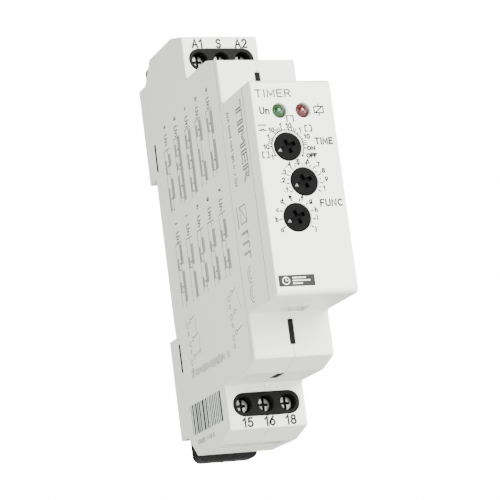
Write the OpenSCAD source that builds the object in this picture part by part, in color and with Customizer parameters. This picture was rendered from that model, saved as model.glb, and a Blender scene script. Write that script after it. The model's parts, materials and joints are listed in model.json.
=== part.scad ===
// One-module time relay for a 35 mm top-hat rail.
// X runs across the width, -Y points to the front face, +Z is up.
// The origin is the middle of the seat that rests on the rail.

/* [Housing] */
// Width across the two housing shells
body_w = 17.54; // [16.5:0.01:26]
// Height between the two end faces
body_h = 90; // [84:0.5:120]
// Distance from the rail seat to the front face
front_reach = 59.8; // [56:0.1:80]
// Distance from the rail seat to the shoulder faces beside the nose
shoulder_reach = 44; // [41:0.1:46]
// Distance from the rail seat to where the shoulder slant ends
slant_reach = 37.9; // [34:0.1:39]
// Distance from the rail seat to the terminal faces
terminal_reach = 25.9; // [25.6:0.1:28]
// Wall thickness of the shells and the cover
wall = 1.5; // [1.2:0.05:1.8]
// Height of the nose, which passes a 45 mm panel cut-out
nose_h = 44.6; // [44:0.1:54]
// Height of the step from an end face to the shoulder underside
terminal_step = 11.4; // [10.8:0.1:13]
// Height lost along the shoulder slant
slant_drop = 1.9; // [1:0.1:4]
// Height lost along the front chamfer of an end face
front_chamfer_drop = 1.9; // [1:0.1:3]
// Distance from the rail seat to the front edge of an end face
end_front = 19.1; // [18.6:0.1:21]
// Size of the small chamfer in each inside corner
root_chamfer = 0.45; // [0.2:0.05:1]

/* [Front cover] */
// How far the cover stands proud of each shell side
cover_proud = 0.03; // [0:0.01:0.2]
// Depth of the cover's visible rim
cover_depth = 4.6; // [4:0.1:6]
// Thickness of the front face
face_t = 1.6; // [1.2:0.1:2]
// Radius along the top and bottom front edges
cover_edge_r = 1.2; // [0.5:0.1:1.5]
// Thickness of the lip that enters the nose
lip_t = 0.9; // [0.7:0.1:1.2]
// How far the lip enters the nose
lip_reach = 2.6; // [1.5:0.1:3]
// Gap between the lip and the nose walls
lip_gap = 0.1; // [0.05:0.01:0.2]
// Width of the two snap arms
snap_w = 4.4; // [3:0.1:5]

/* [Rail mount] */
// Height of the slot that takes the 35 mm rail
rail_slot_h = 36; // [35.5:0.1:37]
// How far the jaws reach behind the rail seat
jaw_depth = 4.2; // [3.9:0.1:6]
// Height of the raised land that touches the rail
seat_h = 31; // [28:0.5:32]
// How far the face beside that land lies back
seat_relief = 0.25; // [0.1:0.05:0.4]
// Distance from an end face to the end of its jaw
jaw_inset = 4.7; // [4:0.1:6]
// Thickness of the side walls beside a latch
jaw_wall = 1.57; // [1.3:0.01:2]
// Thickness of the lips that hold a latch in from behind
jaw_lip_t = 0.8; // [0.6:0.1:1.2]
// Width of those lips
jaw_lip_w = 2; // [1:0.1:3]
// Side gap around a latch
latch_gap = 0.15; // [0.1:0.01:0.25]
// How far a latch nose reaches into the rail slot
latch_nose = 1.7; // [1:0.1:2.5]
// Clear depth between the rail seat and a latch nose
rail_flange_gap = 1.2; // [1.05:0.05:1.6]
// How far a latch foot stands out past its end face
foot_proud = 0.75; // [0.4:0.05:3]
// Corner radius of a latch foot
foot_r = 1.75; // [1:0.05:3]
// Travel of a latch
latch_travel = 3; // [2:0.1:3.5]
// Mean coil radius of a latch spring
spring_r = 0.95; // [0.7:0.05:1.1]
// Wire radius of a latch spring
spring_wire_r = 0.18; // [0.12:0.01:0.22]

/* [Terminals] */
// Distance between neighbouring terminals
terminal_pitch = 5; // [4.1:0.05:5.05]
// Distance from an end face to the screw axes
screw_inset = 7.1; // [6.9:0.1:7.5]
// Width of the oval window in a terminal face
oval_w = 15.2; // [14.8:0.1:16]
// Height of that window
oval_h = 5.1; // [4.6:0.1:6]
// Depth of the screw heads behind the terminal face
head_recess = 2.1; // [1.2:0.1:2.3]
// Radius of a screw head
head_r = 1.5; // [1.3:0.05:1.6]
// Height of a screw head
head_t = 1.55; // [1.2:0.05:1.8]
// Radius of the screw thread
thread_r = 1.15; // [0.9:0.05:1.25]
// Outer width of a clamp cage
cage_w = 3.7; // [3.3:0.05:3.75]
// Length of a clamp cage along the wire
cage_len = 4.6; // [4:0.1:4.8]
// Clear depth inside a clamp cage
cage_gap = 4.6; // [4:0.1:4.8]
// Travel of a clamp cage
cage_travel = 2.6; // [1.5:0.1:2.8]
// Thickness of a contact bar
bar_t = 0.8; // [0.5:0.05:1]

/* [Controls] */
// Radius of a knob
knob_r = 2.88; // [2.4:0.01:3.1]
// Gap around a knob in the front face
knob_gap = 0.1; // [0.06:0.01:0.3]
// How far the knobs stand proud of the front face
knob_proud = 0.1; // [0.05:0.05:1]
// Thickness of a knob's disc
knob_t = 1.5; // [1.3:0.1:1.8]
// Radius of an indicator lamp
lamp_r = 1.5; // [1.2:0.05:1.7]
// Side of a trimmer body
trimmer_w = 6.4; // [6:0.1:6.6]
// Depth of a trimmer body
trimmer_t = 5; // [4.5:0.1:6]

/* [Boards and relay] */
// Thickness of both circuit boards
board_t = 1.6; // [1:0.1:1.6]
// Gap between the left wall and the main board
board_standoff = 1.4; // [1:0.1:1.6]
// Length of the relay case
relay_l = 28; // [27:0.5:29]
// Depth of the relay case
relay_d = 14; // [14:0.1:15]
// Height of the relay case above the main board
relay_t = 10.6; // [10.6:0.1:11.2]
// Opening angle of the relay armature
armature_open = 4.6; // [3:0.1:5]

/* [Hidden] */
$fn = 48;
eps = 0.01;

// Housing profile heights and the two inner faces that most pieces refer to
end_z = body_h / 2;
root_z = end_z - terminal_step;
shoulder_z = root_z - slant_drop;
nose_z = nose_h / 2;
jaw_z = end_z - jaw_inset;
jaw_front = 0.2;
end_rear = jaw_inset + jaw_front;
seam_y = front_reach - cover_depth;
side_in = body_w / 2 - wall;
cover_w = body_w + 2 * cover_proud;

// Slots, slits and recesses of the shells
slot_w = 1.1;
root_slot_w = 1.7;
shoulder_slot = [nose_z + 1.5, shoulder_z - 2.7];
root_slot = [terminal_reach + 4.9, slant_reach - 1.9];
slit_w = 0.85;
slit_rear = 1.27;
slit_len = 6.3;
slit_z = 1.7;
pry_w = 6;
pry_len = 4.6;
pry_depth = 1;
line_w = 0.16;
line_depth = 0.1;

// Snap arms of the cover, measured forward from the shoulder faces
snap_end = 1.2;
snap_hook = [2.4, 3.8];
snap_rise = 0.9;
snap_clear = 0.3;

// Latches
latch_w = body_w - 2 * jaw_wall - 2 * latch_gap;
latch_back = jaw_depth - jaw_lip_t - 0.1;
latch_front = 0.15;
foot_front = -0.4;
foot_z = jaw_z + 0.7;
foot_end = end_z + foot_proud;
post_w = 1.8;
post_len = 2;
post_top = jaw_z - 1;
latch_slot_w = 2.9;
latch_slot_top = post_top + 0.2;
// Room left to a spring when its latch is fully out
spring_pressed = 7;
spring_len = latch_travel + spring_pressed;
spring_turns = 9;

// Terminals, measured forward from the rail seat
screw_z = end_z - screw_inset;
boss_recess = 0.15;
head_y = terminal_reach - head_recess;
head_seat = head_y - head_t - 0.05;
ledge_t = 1;
cage_roof = 1.2;
cage_floor = 0.8;
cage_wall = 0.6;
cage_room = head_seat - ledge_t - cage_travel - cage_roof - 0.1;
bar_y = cage_room - 0.1;
bar_w = cage_w - 2 * cage_wall - 0.2;
block_gap = 0.07;
rim_gap = 0.15;
head_gap = 0.22;
screw_slot_w = 0.48;
screw_slot_depth = 0.7;
screw_cross_len = 1.9;
screw_cross_depth = 0.8;
thread_gap = 0.12;
cage_gap_x = 0.1;
block_depth = 6.4;
block_low = screw_z - cage_len / 2 - 0.7;
entry_w = oval_w - 1.6;
entry_y = [bar_y - 4.9, bar_y + 0.6];
terminal_x = [for (i = [-1 : 1]) i * terminal_pitch];
lane_step = 3;
foot_len = 3;

// Controls, in the plane of the front face
knob_at = [[-2.32, 8.21], [0.25, 0.87], [-2.32, -6.47]];
lamp_at = [[-3.06, 15.78], [2.07, 15.78]];
pointer_angle = 204;
recess_w = 0.76;
recess_len = [3.5, 2.9];
recess_depth = 0.9;
trimmer_y = front_reach - face_t - 2.2;
front_board_y = trimmer_y - trimmer_t;
rotor_r = 2.2;
rotor_t = 2.6;
stem_r = 1.4;
rotor_gap = 0.08;
key_w = 1.6;
key_t = 1.5;
key_gap = 0.03;
lamp_gap = 0.05;
flange_w = 0.4;
flange_t = 1;
dome_h = 0.72 * lamp_r;
lead_r = 0.25;
lead_x = 0.75;
lead_tail = 0.6;

// Boards
board_x = -side_in + board_standoff;
board_face = board_x + board_t;
board_z = root_z - wall - 0.6;
board_rear = wall + 1.5;
board_front = slant_reach - 0.8;
board_nose_z = 19;
board_nose_y = front_board_y - board_t - lead_tail - 0.2;
peg_r = 1;
peg_gap = 0.05;
collar_r = 2.1;
peg_at = [[-22.2, 25], [-22.2, -25], [-42, 12], [-42, -12]];
pin_x = board_face + 1.3;
pin_r = 0.3;
pin_z = [for (k = [-2.5 : 2.5]) 2.54 * k];

// Components, placed as [y, z] on the main board with a small gap under them
lift = 0.1;
film_at = [-35, -27.5];
film_size = [10.2, 9, 17.5];
smoothing_at = [-30.5, 6.5];
smoothing_r = 5;
smoothing_len = 16;
groove_r = 0.8;
groove_z = 1.8;
groove_out = 0.3;
varistor_at = [-12, 20];
varistor_r = 4.6;
varistor_t = 4;
chip_at = [-30.5, -2];
chip_size = [1.7, 4, 10];
chip_pitch = 1.27;
row_first = -7.5;
row_pitch = 3.6;
row_y = [for (k = [0 : 3]) row_first - row_pitch * k];
resistor_r = 1.2;
resistor_len = 6.5;
resistor_z = 5;
diode_r = 1.3;
diode_len = 4.2;
diode_z = 13.5;
body_lift = [0.2, 0.3];

// Relay, placed on the main board
relay_at = [board_face, -12, -14];
relay_wall = 0.6;
relay_floor = 1.4;
coil_at = [5.7, -2];
coil_low = -10.4;
coil_high = 4.6;
core_r = 1.3;
pole_z = 5.6;
yoke_w = 6;
yoke_t = 1.4;
yoke_y = 2.2;
bead_r = 0.3;
pivot = [yoke_y + yoke_t - bead_r, pole_z];
armature_low = pivot[1] + 0.08;
armature_end = pivot[0] + 0.9;
armature_t = 1;
blade_t = 0.3;
tip_z = 12;
tip_r = 0.95;
tip_t = 0.4;
pin_at = [[-4.2, 12], [3.3, 12], [6, 12], [-4.5, -11.6], [4.6, -11.6]];

// Extrudes a side profile, drawn as [y, z], from x0 to x1
module across(x0, x1) {
    translate([x0, 0, 0]) rotate([90, 0, 90]) linear_extrude(x1 - x0) children();
}

// Box between two opposite corners
module block(low, high) {
    translate(low) cube(high - low);
}

// Cylinder along X or along Y
module rod_x(r, x0, x1) {
    translate([x0, 0, 0]) rotate([0, 90, 0]) cylinder(r = r, h = x1 - x0);
}
module rod_y(r, y0, y1) {
    translate([0, y1, 0]) rotate([90, 0, 0]) cylinder(r = r, h = y1 - y0);
}

// Keeps a shape and adds its copy in the other half of the height
module both_ends() {
    children();
    mirror([0, 0, 1]) children();
}

function flip(points) = [for (i = [len(points) - 1 : -1 : 0]) [points[i][0], -points[i][1]]];

// Upper half of the shells' side profile, from the cover seam back to the seat
outer_half = [
    [-seam_y, nose_z],
    [-shoulder_reach - root_chamfer, nose_z],
    [-shoulder_reach, nose_z + root_chamfer],
    [-shoulder_reach, shoulder_z],
    [-slant_reach, root_z],
    [-terminal_reach - root_chamfer, root_z],
    [-terminal_reach, root_z + root_chamfer],
    [-terminal_reach, end_z - front_chamfer_drop],
    [-end_front, end_z],
    [-end_rear, end_z],
    [-jaw_front, jaw_z],
    [jaw_depth, jaw_z],
    [jaw_depth, rail_slot_h / 2],
    [-seat_relief, rail_slot_h / 2],
    [-seat_relief, seat_h / 2],
    [0, seat_h / 2]
];

// Upper half of the room inside the shells
rear_line = jaw_z - jaw_front - wall * sqrt(2);
inner_half = [
    [-seam_y - 1, nose_z - wall],
    [-shoulder_reach + wall, nose_z - wall],
    [-shoulder_reach + wall, shoulder_z - wall / 2],
    [-slant_reach + wall / 2, root_z - wall],
    [-terminal_reach + wall, root_z - wall],
    [-terminal_reach + wall, end_z - front_chamfer_drop - wall],
    [-end_front, end_z - wall],
    [rear_line - end_z + wall, end_z - wall],
    [-wall, rear_line + wall]
];

module oval(w, h) {
    r = h / 2;
    square([w - h, h], center = true);
    for (s = [-1, 1]) translate([s * (w / 2 - r), 0]) circle(r);
}

// Extrudes a front view, drawn as [x, z], from y0 to y1
module through(y0, y1) {
    translate([0, y1, 0]) rotate([90, 0, 0]) linear_extrude(y1 - y0) children();
}

// Everything that is cut out of both shells
module shell_cuts() {
    both_ends() {
        translate([0, 0, screw_z])
            through(-terminal_reach - 1, -terminal_reach + wall + 0.1) oval(oval_w, oval_h);
        // wire entries in the end face
        block([-entry_w / 2, -entry_y[1], end_z - wall - 0.2], [entry_w / 2, -entry_y[0], end_z + 1]);
        // narrow slots in the shoulder face and its underside
        block([-slot_w / 2, -shoulder_reach - 1, shoulder_slot[0]],
              [slot_w / 2, -shoulder_reach + wall + eps, shoulder_slot[1]]);
        block([-root_slot_w / 2, -root_slot[1], root_z - wall - eps],
              [root_slot_w / 2, -root_slot[0], root_z + 1]);
        // pry recess under the nose and the window for the cover's snap arm
        block([-pry_w / 2, -shoulder_reach - pry_len, nose_z - pry_depth],
              [pry_w / 2, -shoulder_reach + eps, nose_z + eps]);
        block([-snap_w / 2 - snap_clear, -shoulder_reach - snap_hook[1] - snap_clear,
               nose_z - wall - eps],
              [snap_w / 2 + snap_clear, -shoulder_reach - snap_hook[0] + snap_clear, nose_z]);
        // channel for a rail latch, open to the rear between two lips
        block([-latch_w / 2 - latch_gap, 0, rail_slot_h / 2 - 1],
              [latch_w / 2 + latch_gap, jaw_depth - jaw_lip_t, jaw_z + 1]);
        block([-latch_w / 2 + jaw_lip_w, 0, rail_slot_h / 2 - 1],
              [latch_w / 2 - jaw_lip_w, jaw_depth + 1, jaw_z + 1]);
        // slit in each side face and the fine line along it
        for (s = [-1, 1])
            translate([s * (body_w / 2 - wall / 2), -slit_rear - slit_w / 2,
                       rail_slot_h / 2 + slit_z + slit_len / 2])
                cube([wall + 0.2, slit_w, slit_len], center = true);
    }
    for (s = [-1, 1])
        translate([s * body_w / 2, -shoulder_reach + wall, 0])
            cube([2 * line_depth, line_w, body_h], center = true);
}

// Posts that the latch springs push against, half in each shell
module spring_posts() {
    both_ends() block([-post_w / 2, -wall / 2, post_top - post_len],
                      [post_w / 2, latch_back - 0.2, post_top]);
}

module shell_body(x0, x1, in0, in1) {
    difference() {
        across(x0, x1) polygon(concat(outer_half, flip(outer_half)));
        across(in0, in1) polygon(concat(inner_half, flip(inner_half)));
        shell_cuts();
    }
    intersection() {
        spring_posts();
        block([x0, -wall, -end_z], [x1, jaw_depth, end_z]);
    }
}

module left_shell() {
    color("gainsboro") {
        shell_body(-body_w / 2, 0, -side_in, 1);
        for (p = peg_at) translate([0, p[0], p[1]]) {
            rod_x(collar_r, -side_in - eps, board_x - peg_gap);
            rod_x(peg_r, -side_in - eps, side_in - 2);
        }
    }
}

module right_shell() {
    color("whitesmoke") difference() {
        union() {
            shell_body(0, body_w / 2, -1, side_in);
            for (p = peg_at) translate([0, p[0], p[1]]) rod_x(collar_r, board_face + peg_gap, side_in + eps);
        }
        for (p = peg_at) translate([0, p[0], p[1]]) rod_x(peg_r + peg_gap, board_face, side_in - 1);
    }
}

// Side profile of the cover, with its front edges rounded
module cover_profile() {
    h = nose_h;
    r = cover_edge_r;
    translate([-front_reach, -h / 2 + r]) square([cover_depth, h - 2 * r]);
    translate([-front_reach + r, -h / 2]) square([cover_depth - r, h]);
    for (s = [-1, 1]) translate([-front_reach + r, s * (h / 2 - r)]) circle(r);
}

module front_cover() {
    lip_x = side_in - lip_gap;
    lip_z = nose_z - wall - lip_gap;
    room_x = lip_x - lip_t;
    room_z = lip_z - lip_t;
    color("white") difference() {
        union() {
            across(-cover_w / 2, cover_w / 2) cover_profile();
            block([-lip_x, -seam_y - eps, -lip_z], [lip_x, -seam_y + lip_reach, lip_z]);
            both_ends() {
                block([-snap_w / 2, -seam_y, room_z], [snap_w / 2, -shoulder_reach - snap_end, lip_z]);
                block([-snap_w / 2, -shoulder_reach - snap_hook[1], room_z],
                      [snap_w / 2, -shoulder_reach - snap_hook[0], lip_z + snap_rise]);
            }
        }
        block([-room_x, -front_reach + face_t, -room_z], [room_x, -seam_y + lip_reach + eps, room_z]);
        for (p = knob_at) translate([p[0], 0, p[1]])
            rod_y(knob_r + knob_gap, -front_reach - 1, -front_reach + face_t + 1);
        for (p = lamp_at) translate([p[0], 0, p[1]])
            rod_y(lamp_r + lamp_gap, -front_reach - 1, -front_reach + face_t + 1);
    }
}

// Knob with a cross recess, on a stem that keys into its rotor, turned to its rest position
module knob(p) {
    face = -front_reach - knob_proud;
    back = face + knob_t;
    color("#1c1c1c") translate([p[0], 0, p[1]]) rotate([0, -pointer_angle, 0]) {
        difference() {
            rod_y(knob_r, face, back);
            for (s = [[recess_len[0], recess_w], [recess_w, recess_len[1]]])
                block([-s[0] / 2, face - 1, -s[1] / 2], [s[0] / 2, face + recess_depth, s[1] / 2]);
        }
        rod_y(stem_r, back - eps, -trimmer_y);
        block([-key_w / 2, -trimmer_y - eps, -key_w / 2], [key_w / 2, -trimmer_y + key_t, key_w / 2]);
    }
}
module range_knob() { knob(knob_at[0]); }
module time_knob() { knob(knob_at[1]); }
module function_knob() { knob(knob_at[2]); }

module rotor(p) {
    color("ivory") translate([p[0], 0, p[1]]) rotate([0, -pointer_angle, 0]) difference() {
        rod_y(rotor_r, -trimmer_y, -trimmer_y + rotor_t);
        block([-key_w / 2 - key_gap, -trimmer_y - 1, -key_w / 2 - key_gap],
              [key_w / 2 + key_gap, -trimmer_y + key_t + key_gap, key_w / 2 + key_gap]);
    }
}
module range_rotor() { rotor(knob_at[0]); }
module time_rotor() { rotor(knob_at[1]); }
module function_rotor() { rotor(knob_at[2]); }

module trimmer_body(p, shade) {
    w = trimmer_w / 2;
    color(shade) translate([p[0], 0, p[1]]) difference() {
        block([-w, -trimmer_y, -w], [w, -front_board_y, w]);
        rod_y(rotor_r + rotor_gap, -trimmer_y - 1, -trimmer_y + rotor_t + rotor_gap);
    }
}
module range_switch_body() { trimmer_body(knob_at[0], "royalblue"); }
module time_trimmer_body() { trimmer_body(knob_at[1], "steelblue"); }
module function_switch_body() { trimmer_body(knob_at[2], "royalblue"); }

// Round lamp with a flange and a domed end, its tip level with the knobs
module lamp(p) {
    flange_y = trimmer_y - 2;
    tip = front_reach + knob_proud - 0.02;
    ball = 1.05 * lamp_r;
    translate([p[0], 0, p[1]]) rotate([90, 0, 0]) {
        translate([0, 0, flange_y]) cylinder(r = lamp_r + flange_w, h = flange_t);
        translate([0, 0, flange_y]) cylinder(r = lamp_r, h = tip - dome_h - flange_y);
        translate([0, 0, tip - dome_h - eps]) rotate_extrude() intersection() {
            translate([0, dome_h - ball]) circle(ball);
            square([lamp_r, dome_h]);
        }
    }
}
module green_lamp() { color("green") lamp(lamp_at[0]); }
module red_lamp() { color("firebrick") lamp(lamp_at[1]); }

module lamp_leads() {
    color("silver") for (p = lamp_at, s = [-1, 1])
        translate([p[0] + s * lead_x, 0, p[1]]) rod_y(lead_r, -trimmer_y + 2, -front_board_y + board_t + lead_tail);
}

// Black insert that carries one row of three terminals
module terminal_block() {
    x = side_in - block_gap;
    front = -terminal_reach + wall + 0.05;
    high = end_z - wall - rim_gap;
    rear = -bar_y + block_depth;
    difference() {
        union() {
            across(-x, x) polygon([[front, block_low], [front, high - front_chamfer_drop],
                [-end_front, high], [rear, high], [rear, block_low]]);
            translate([0, 0, screw_z])
                through(-terminal_reach + boss_recess, front + eps) oval(oval_w - 0.1, oval_h - 0.1);
        }
        for (tx = terminal_x) {
            translate([tx, 0, screw_z]) {
                rod_y(head_r + head_gap, -terminal_reach - 1, -head_seat);
                rod_y(thread_r + thread_gap, -head_seat - 1, -head_seat + ledge_t + 1);
            }
            // room for the cage, wire funnel and slot for the contact bar
            block([tx - cage_w / 2 - cage_gap_x, -head_seat + ledge_t, screw_z - cage_len / 2 - 0.1],
                  [tx + cage_w / 2 + cage_gap_x, rear - 0.8, screw_z + cage_len / 2 + 0.15]);
            block([tx - cage_w / 2, -bar_y + bar_t, screw_z], [tx + cage_w / 2, -entry_y[0] - 0.1, end_z]);
            block([tx - bar_w / 2 - 0.1, -bar_y - 0.1, block_low - 1],
                  [tx + bar_w / 2 + 0.1, -bar_y + bar_t + 0.1, block_low + 1]);
        }
    }
}
module upper_terminal_block() { color("#222222") terminal_block(); }
module lower_terminal_block() { color("#222222") mirror([0, 0, 1]) terminal_block(); }

// Contact bar from a cage to its own solder foot on the main board
module contact_bar(i) {
    x = terminal_x[i];
    lane = bar_y + i * lane_step;
    low = board_z + 0.9;
    high = low + 1.6;
    block([x - bar_w / 2, -bar_y, low], [x + bar_w / 2, -bar_y + bar_t, screw_z + cage_len / 2 - 0.1]);
    block([x - bar_w / 2, -lane, low], [x + bar_w / 2, -bar_y + bar_t, high]);
    block([min(board_face, x - bar_w / 2), -lane, low],
          [max(x + bar_w / 2, board_face + bar_t), -lane + bar_t, high]);
    block([board_face, -lane, low - foot_len], [board_face + bar_t, -lane + bar_t, high]);
}
module contact_bars() { for (i = [0 : 2]) contact_bar(i); }
module upper_contact_bars() { color("goldenrod") contact_bars(); }
module lower_contact_bars() { color("goldenrod") mirror([0, 0, 1]) contact_bars(); }

// Terminal screw with a combined slot and cross recess
module terminal_screw(i, s) {
    face = -head_y;
    color("silver") translate([terminal_x[i], 0, s * screw_z]) {
        difference() {
            rod_y(head_r, face, face + head_t);
            block([-screw_slot_w / 2, face - 1, -head_r - 1],
                  [screw_slot_w / 2, face + screw_slot_depth, head_r + 1]);
            block([-screw_cross_len / 2, face - 1, -screw_slot_w / 2],
                  [screw_cross_len / 2, face + screw_cross_depth, screw_slot_w / 2]);
        }
        rod_y(thread_r, face + head_t - eps, -bar_y - 0.12);
    }
}
module screw_a1() { terminal_screw(0, 1); }
module screw_s() { terminal_screw(1, 1); }
module screw_a2() { terminal_screw(2, 1); }
module screw_15() { terminal_screw(0, -1); }
module screw_16() { terminal_screw(1, -1); }
module screw_18() { terminal_screw(2, -1); }

// Rising clamp cage at its open end, a ring that the wire passes through
module clamp_cage(i, s) {
    x = cage_w / 2;
    z = cage_len / 2;
    front = -cage_room - cage_roof;
    color("darkgray") translate([terminal_x[i], 0, s * screw_z]) difference() {
        block([-x, front, -z], [x, -cage_room + cage_gap + cage_floor, z]);
        block([-x + cage_wall, -cage_room, -z - 1], [x - cage_wall, -cage_room + cage_gap, z + 1]);
        rod_y(thread_r + 0.06, front - 1, -cage_room + 1);
    }
}
module cage_a1() { clamp_cage(0, 1); }
module cage_s() { clamp_cage(1, 1); }
module cage_a2() { clamp_cage(2, 1); }
module cage_15() { clamp_cage(0, -1); }
module cage_16() { clamp_cage(1, -1); }
module cage_18() { clamp_cage(2, -1); }

// Front view of a latch foot, with its two lower corners rounded
module foot_outline() {
    h = foot_end - foot_z;
    r = foot_r;
    translate([-latch_w / 2, 0]) square([latch_w, h - r]);
    translate([-latch_w / 2 + r, 0]) square([latch_w - 2 * r, h]);
    for (s = [-1, 1]) translate([s * (latch_w / 2 - r), h - r]) circle(r);
}

// Sliding rail latch: a plate with a hooked nose, a spring slot and a foot
module rail_latch() {
    tip = rail_slot_h / 2 - latch_nose;
    x = latch_w / 2;
    difference() {
        union() {
            block([-x, latch_front, rail_slot_h / 2 + 0.3], [x, latch_back, foot_z + eps]);
            across(-x + 0.6, x - 0.6) polygon([
                [rail_flange_gap, tip], [rail_flange_gap, rail_slot_h / 2 + 1],
                [latch_back, rail_slot_h / 2 + 1], [latch_back, rail_slot_h / 2], [latch_back - 0.9, tip]]);
            translate([0, 0, foot_z]) through(foot_front, latch_back) foot_outline();
        }
        block([-latch_slot_w / 2, -1, post_top - post_len - spring_len],
              [latch_slot_w / 2, jaw_depth, latch_slot_top]);
    }
}
module upper_rail_latch() { color("#2a2a2a") rail_latch(); }
module lower_rail_latch() { color("#2a2a2a") mirror([0, 0, 1]) rail_latch(); }

// Compression spring of the given length, standing on z = 0
module coil_spring(r, wire, length, turns) {
    sides = 8;
    per_turn = 14;
    rings = turns * per_turn;
    rise = (length - 2 * wire) / rings;
    points = [for (k = [0 : rings], s = [0 : sides - 1])
        let (a = 360 * k / per_turn, b = 360 * s / sides)
        [(r + wire * cos(b)) * cos(a), (r + wire * cos(b)) * sin(a), wire + k * rise + wire * sin(b)]];
    walls = [for (k = [0 : rings - 1], s = [0 : sides - 1])
        let (a = k * sides + s, b = k * sides + (s + 1) % sides) [a, b, b + sides, a + sides]];
    start = [[for (s = [sides - 1 : -1 : 0]) s]];
    finish = [[for (s = [0 : sides - 1]) rings * sides + s]];
    polyhedron(points, concat(walls, start, finish), convexity = 10);
}
module latch_spring() {
    translate([0, (latch_front + latch_back) / 2, post_top - post_len - spring_len + 0.05])
        coil_spring(spring_r, spring_wire_r, spring_len - 0.1, spring_turns);
}
module upper_latch_spring() { color("lightgray") latch_spring(); }
module lower_latch_spring() { color("lightgray") mirror([0, 0, 1]) latch_spring(); }

module main_board() {
    half = [[-board_nose_y, board_nose_z], [-board_front, board_nose_z],
            [-board_front, board_z], [-board_rear, board_z]];
    color("darkgreen") difference() {
        across(board_x, board_face) polygon(concat(half, flip(half)));
        for (p = peg_at) translate([0, p[0], p[1]]) rod_x(peg_r + 0.1, board_x - 1, board_face + 1);
        for (p = pin_at) translate([0, relay_at[1] + p[0], relay_at[2] + p[1]])
            rod_x(0.5, board_x - 1, board_face + 1);
    }
}

module front_board() {
    x = side_in - 0.3;
    z = nose_z - wall - lip_gap - lip_t - 0.3;
    color("darkgreen") difference() {
        block([-x, -front_board_y, -z], [x, -front_board_y + board_t, z]);
        for (p = lamp_at, s = [-1, 1])
            translate([p[0] + s * lead_x, 0, p[1]])
                rod_y(lead_r + 0.1, -front_board_y - 1, -front_board_y + board_t + 1);
        for (z = pin_z) translate([pin_x, 0, z])
            rod_y(pin_r + 0.15, -front_board_y - 1, -front_board_y + board_t + 1);
    }
}

module board_connector() {
    y = -board_nose_y + 0.5;
    color("#303030") difference() {
        block([board_face, y, -7.5], [board_face + 2.6, y + 2.6, 7.5]);
        for (z = pin_z) translate([pin_x, 0, z]) rod_y(pin_r + 0.05, y - 1, y + 2);
    }
}
module connector_pins() {
    color("gold") for (z = pin_z) translate([pin_x, 0, z])
        rod_y(pin_r, -front_board_y + 0.1, -board_nose_y + 2.4);
}

module film_capacitor() {
    color("khaki") translate([board_face + lift, film_at[0], film_at[1]]) cube(film_size);
}

// Radial capacitor laid down, with a crimped groove near one end
module smoothing_capacitor() {
    color("midnightblue")
    translate([board_face + smoothing_r + lift, smoothing_at[0], smoothing_at[1]]) difference() {
        cylinder(r = smoothing_r, h = smoothing_len);
        translate([0, 0, groove_z]) rotate_extrude() translate([smoothing_r + groove_out, 0]) circle(groove_r);
    }
}

module varistor() {
    color("cornflowerblue") translate([board_face + varistor_r + 0.4, varistor_at[0], varistor_at[1]])
        cylinder(r = varistor_r, h = varistor_t);
}

module controller_chip() {
    w = chip_size[1] / 2;
    translate([board_face + lift, chip_at[0], chip_at[1]]) {
        color("#181818") block([0, -w, -chip_size[2] / 2], [chip_size[0], w, chip_size[2] / 2]);
        color("silver") for (k = [-3.5 : 3.5], s = [-1, 1])
            translate([lift, s * (w + 0.6), chip_pitch * k]) cube([0.2, 1.2 + eps, 0.4], center = true);
    }
}

module resistors() {
    color("burlywood") for (y = row_y)
        translate([board_face + resistor_r + body_lift[0], y, resistor_z])
            cylinder(r = resistor_r, h = resistor_len);
}
module diodes() {
    color("#202020") for (y = row_y)
        translate([board_face + diode_r + body_lift[1], y, diode_z]) cylinder(r = diode_r, h = diode_len);
}

// Relay pieces are drawn from the middle of the relay's foot, X away from the board
module relay_frame() { translate(relay_at) children(); }

module relay_base() {
    y = relay_d / 2 - relay_wall - 0.05;
    z = relay_l / 2 - relay_wall - 0.05;
    color("dimgray") relay_frame() difference() {
        block([0.1, -y, -z], [relay_floor, y, z]);
        for (p = pin_at) translate([0, p[0], p[1]]) rod_x(0.45, -1, relay_floor + 1);
    }
}
module relay_cover() {
    y = relay_d / 2;
    z = relay_l / 2;
    w = relay_wall;
    color("lightsteelblue") relay_frame() difference() {
        block([0.1, -y, -z], [relay_t, y, z]);
        block([0, -y + w, -z + w], [relay_t - w, y - w, z - w]);
    }
}
module relay_bobbin() {
    color("ivory") relay_frame() translate([coil_at[0], coil_at[1], 0]) difference() {
        union() {
            translate([0, 0, coil_low]) cylinder(r = core_r + 0.6, h = coil_high - coil_low);
            translate([0, 0, coil_low]) cylinder(r = 3.85, h = 0.8);
            translate([0, 0, coil_high - 0.8]) cylinder(r = 3.85, h = 0.8);
        }
        translate([0, 0, coil_low - 1]) cylinder(r = core_r + 0.05, h = coil_high - coil_low + 2);
    }
}
module relay_winding() {
    color("#b4602a") relay_frame() translate([coil_at[0], coil_at[1], coil_low + 0.85]) difference() {
        cylinder(r = 3.6, h = coil_high - coil_low - 1.7);
        translate([0, 0, -1]) cylinder(r = core_r + 0.65, h = coil_high - coil_low + 2);
    }
}
module relay_core() {
    color("silver") relay_frame() translate([coil_at[0], coil_at[1], 0]) {
        translate([0, 0, coil_low - 0.55]) cylinder(r = core_r, h = pole_z - coil_low + 0.5);
        translate([0, 0, coil_high + 0.1]) cylinder(r = 2.6, h = pole_z - coil_high - 0.15);
    }
}
module relay_yoke() {
    low = coil_low - 0.6 - yoke_t;
    x = coil_at[0] - yoke_w / 2;
    color("gray") relay_frame() {
        block([x, coil_at[1] - 3, low], [x + yoke_w, yoke_y + yoke_t, low + yoke_t]);
        block([x, yoke_y, low], [x + yoke_w, yoke_y + yoke_t, pole_z]);
        translate([0, pivot[0], pivot[1]]) rod_x(bead_r, x, x + yoke_w);
    }
}

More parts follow.
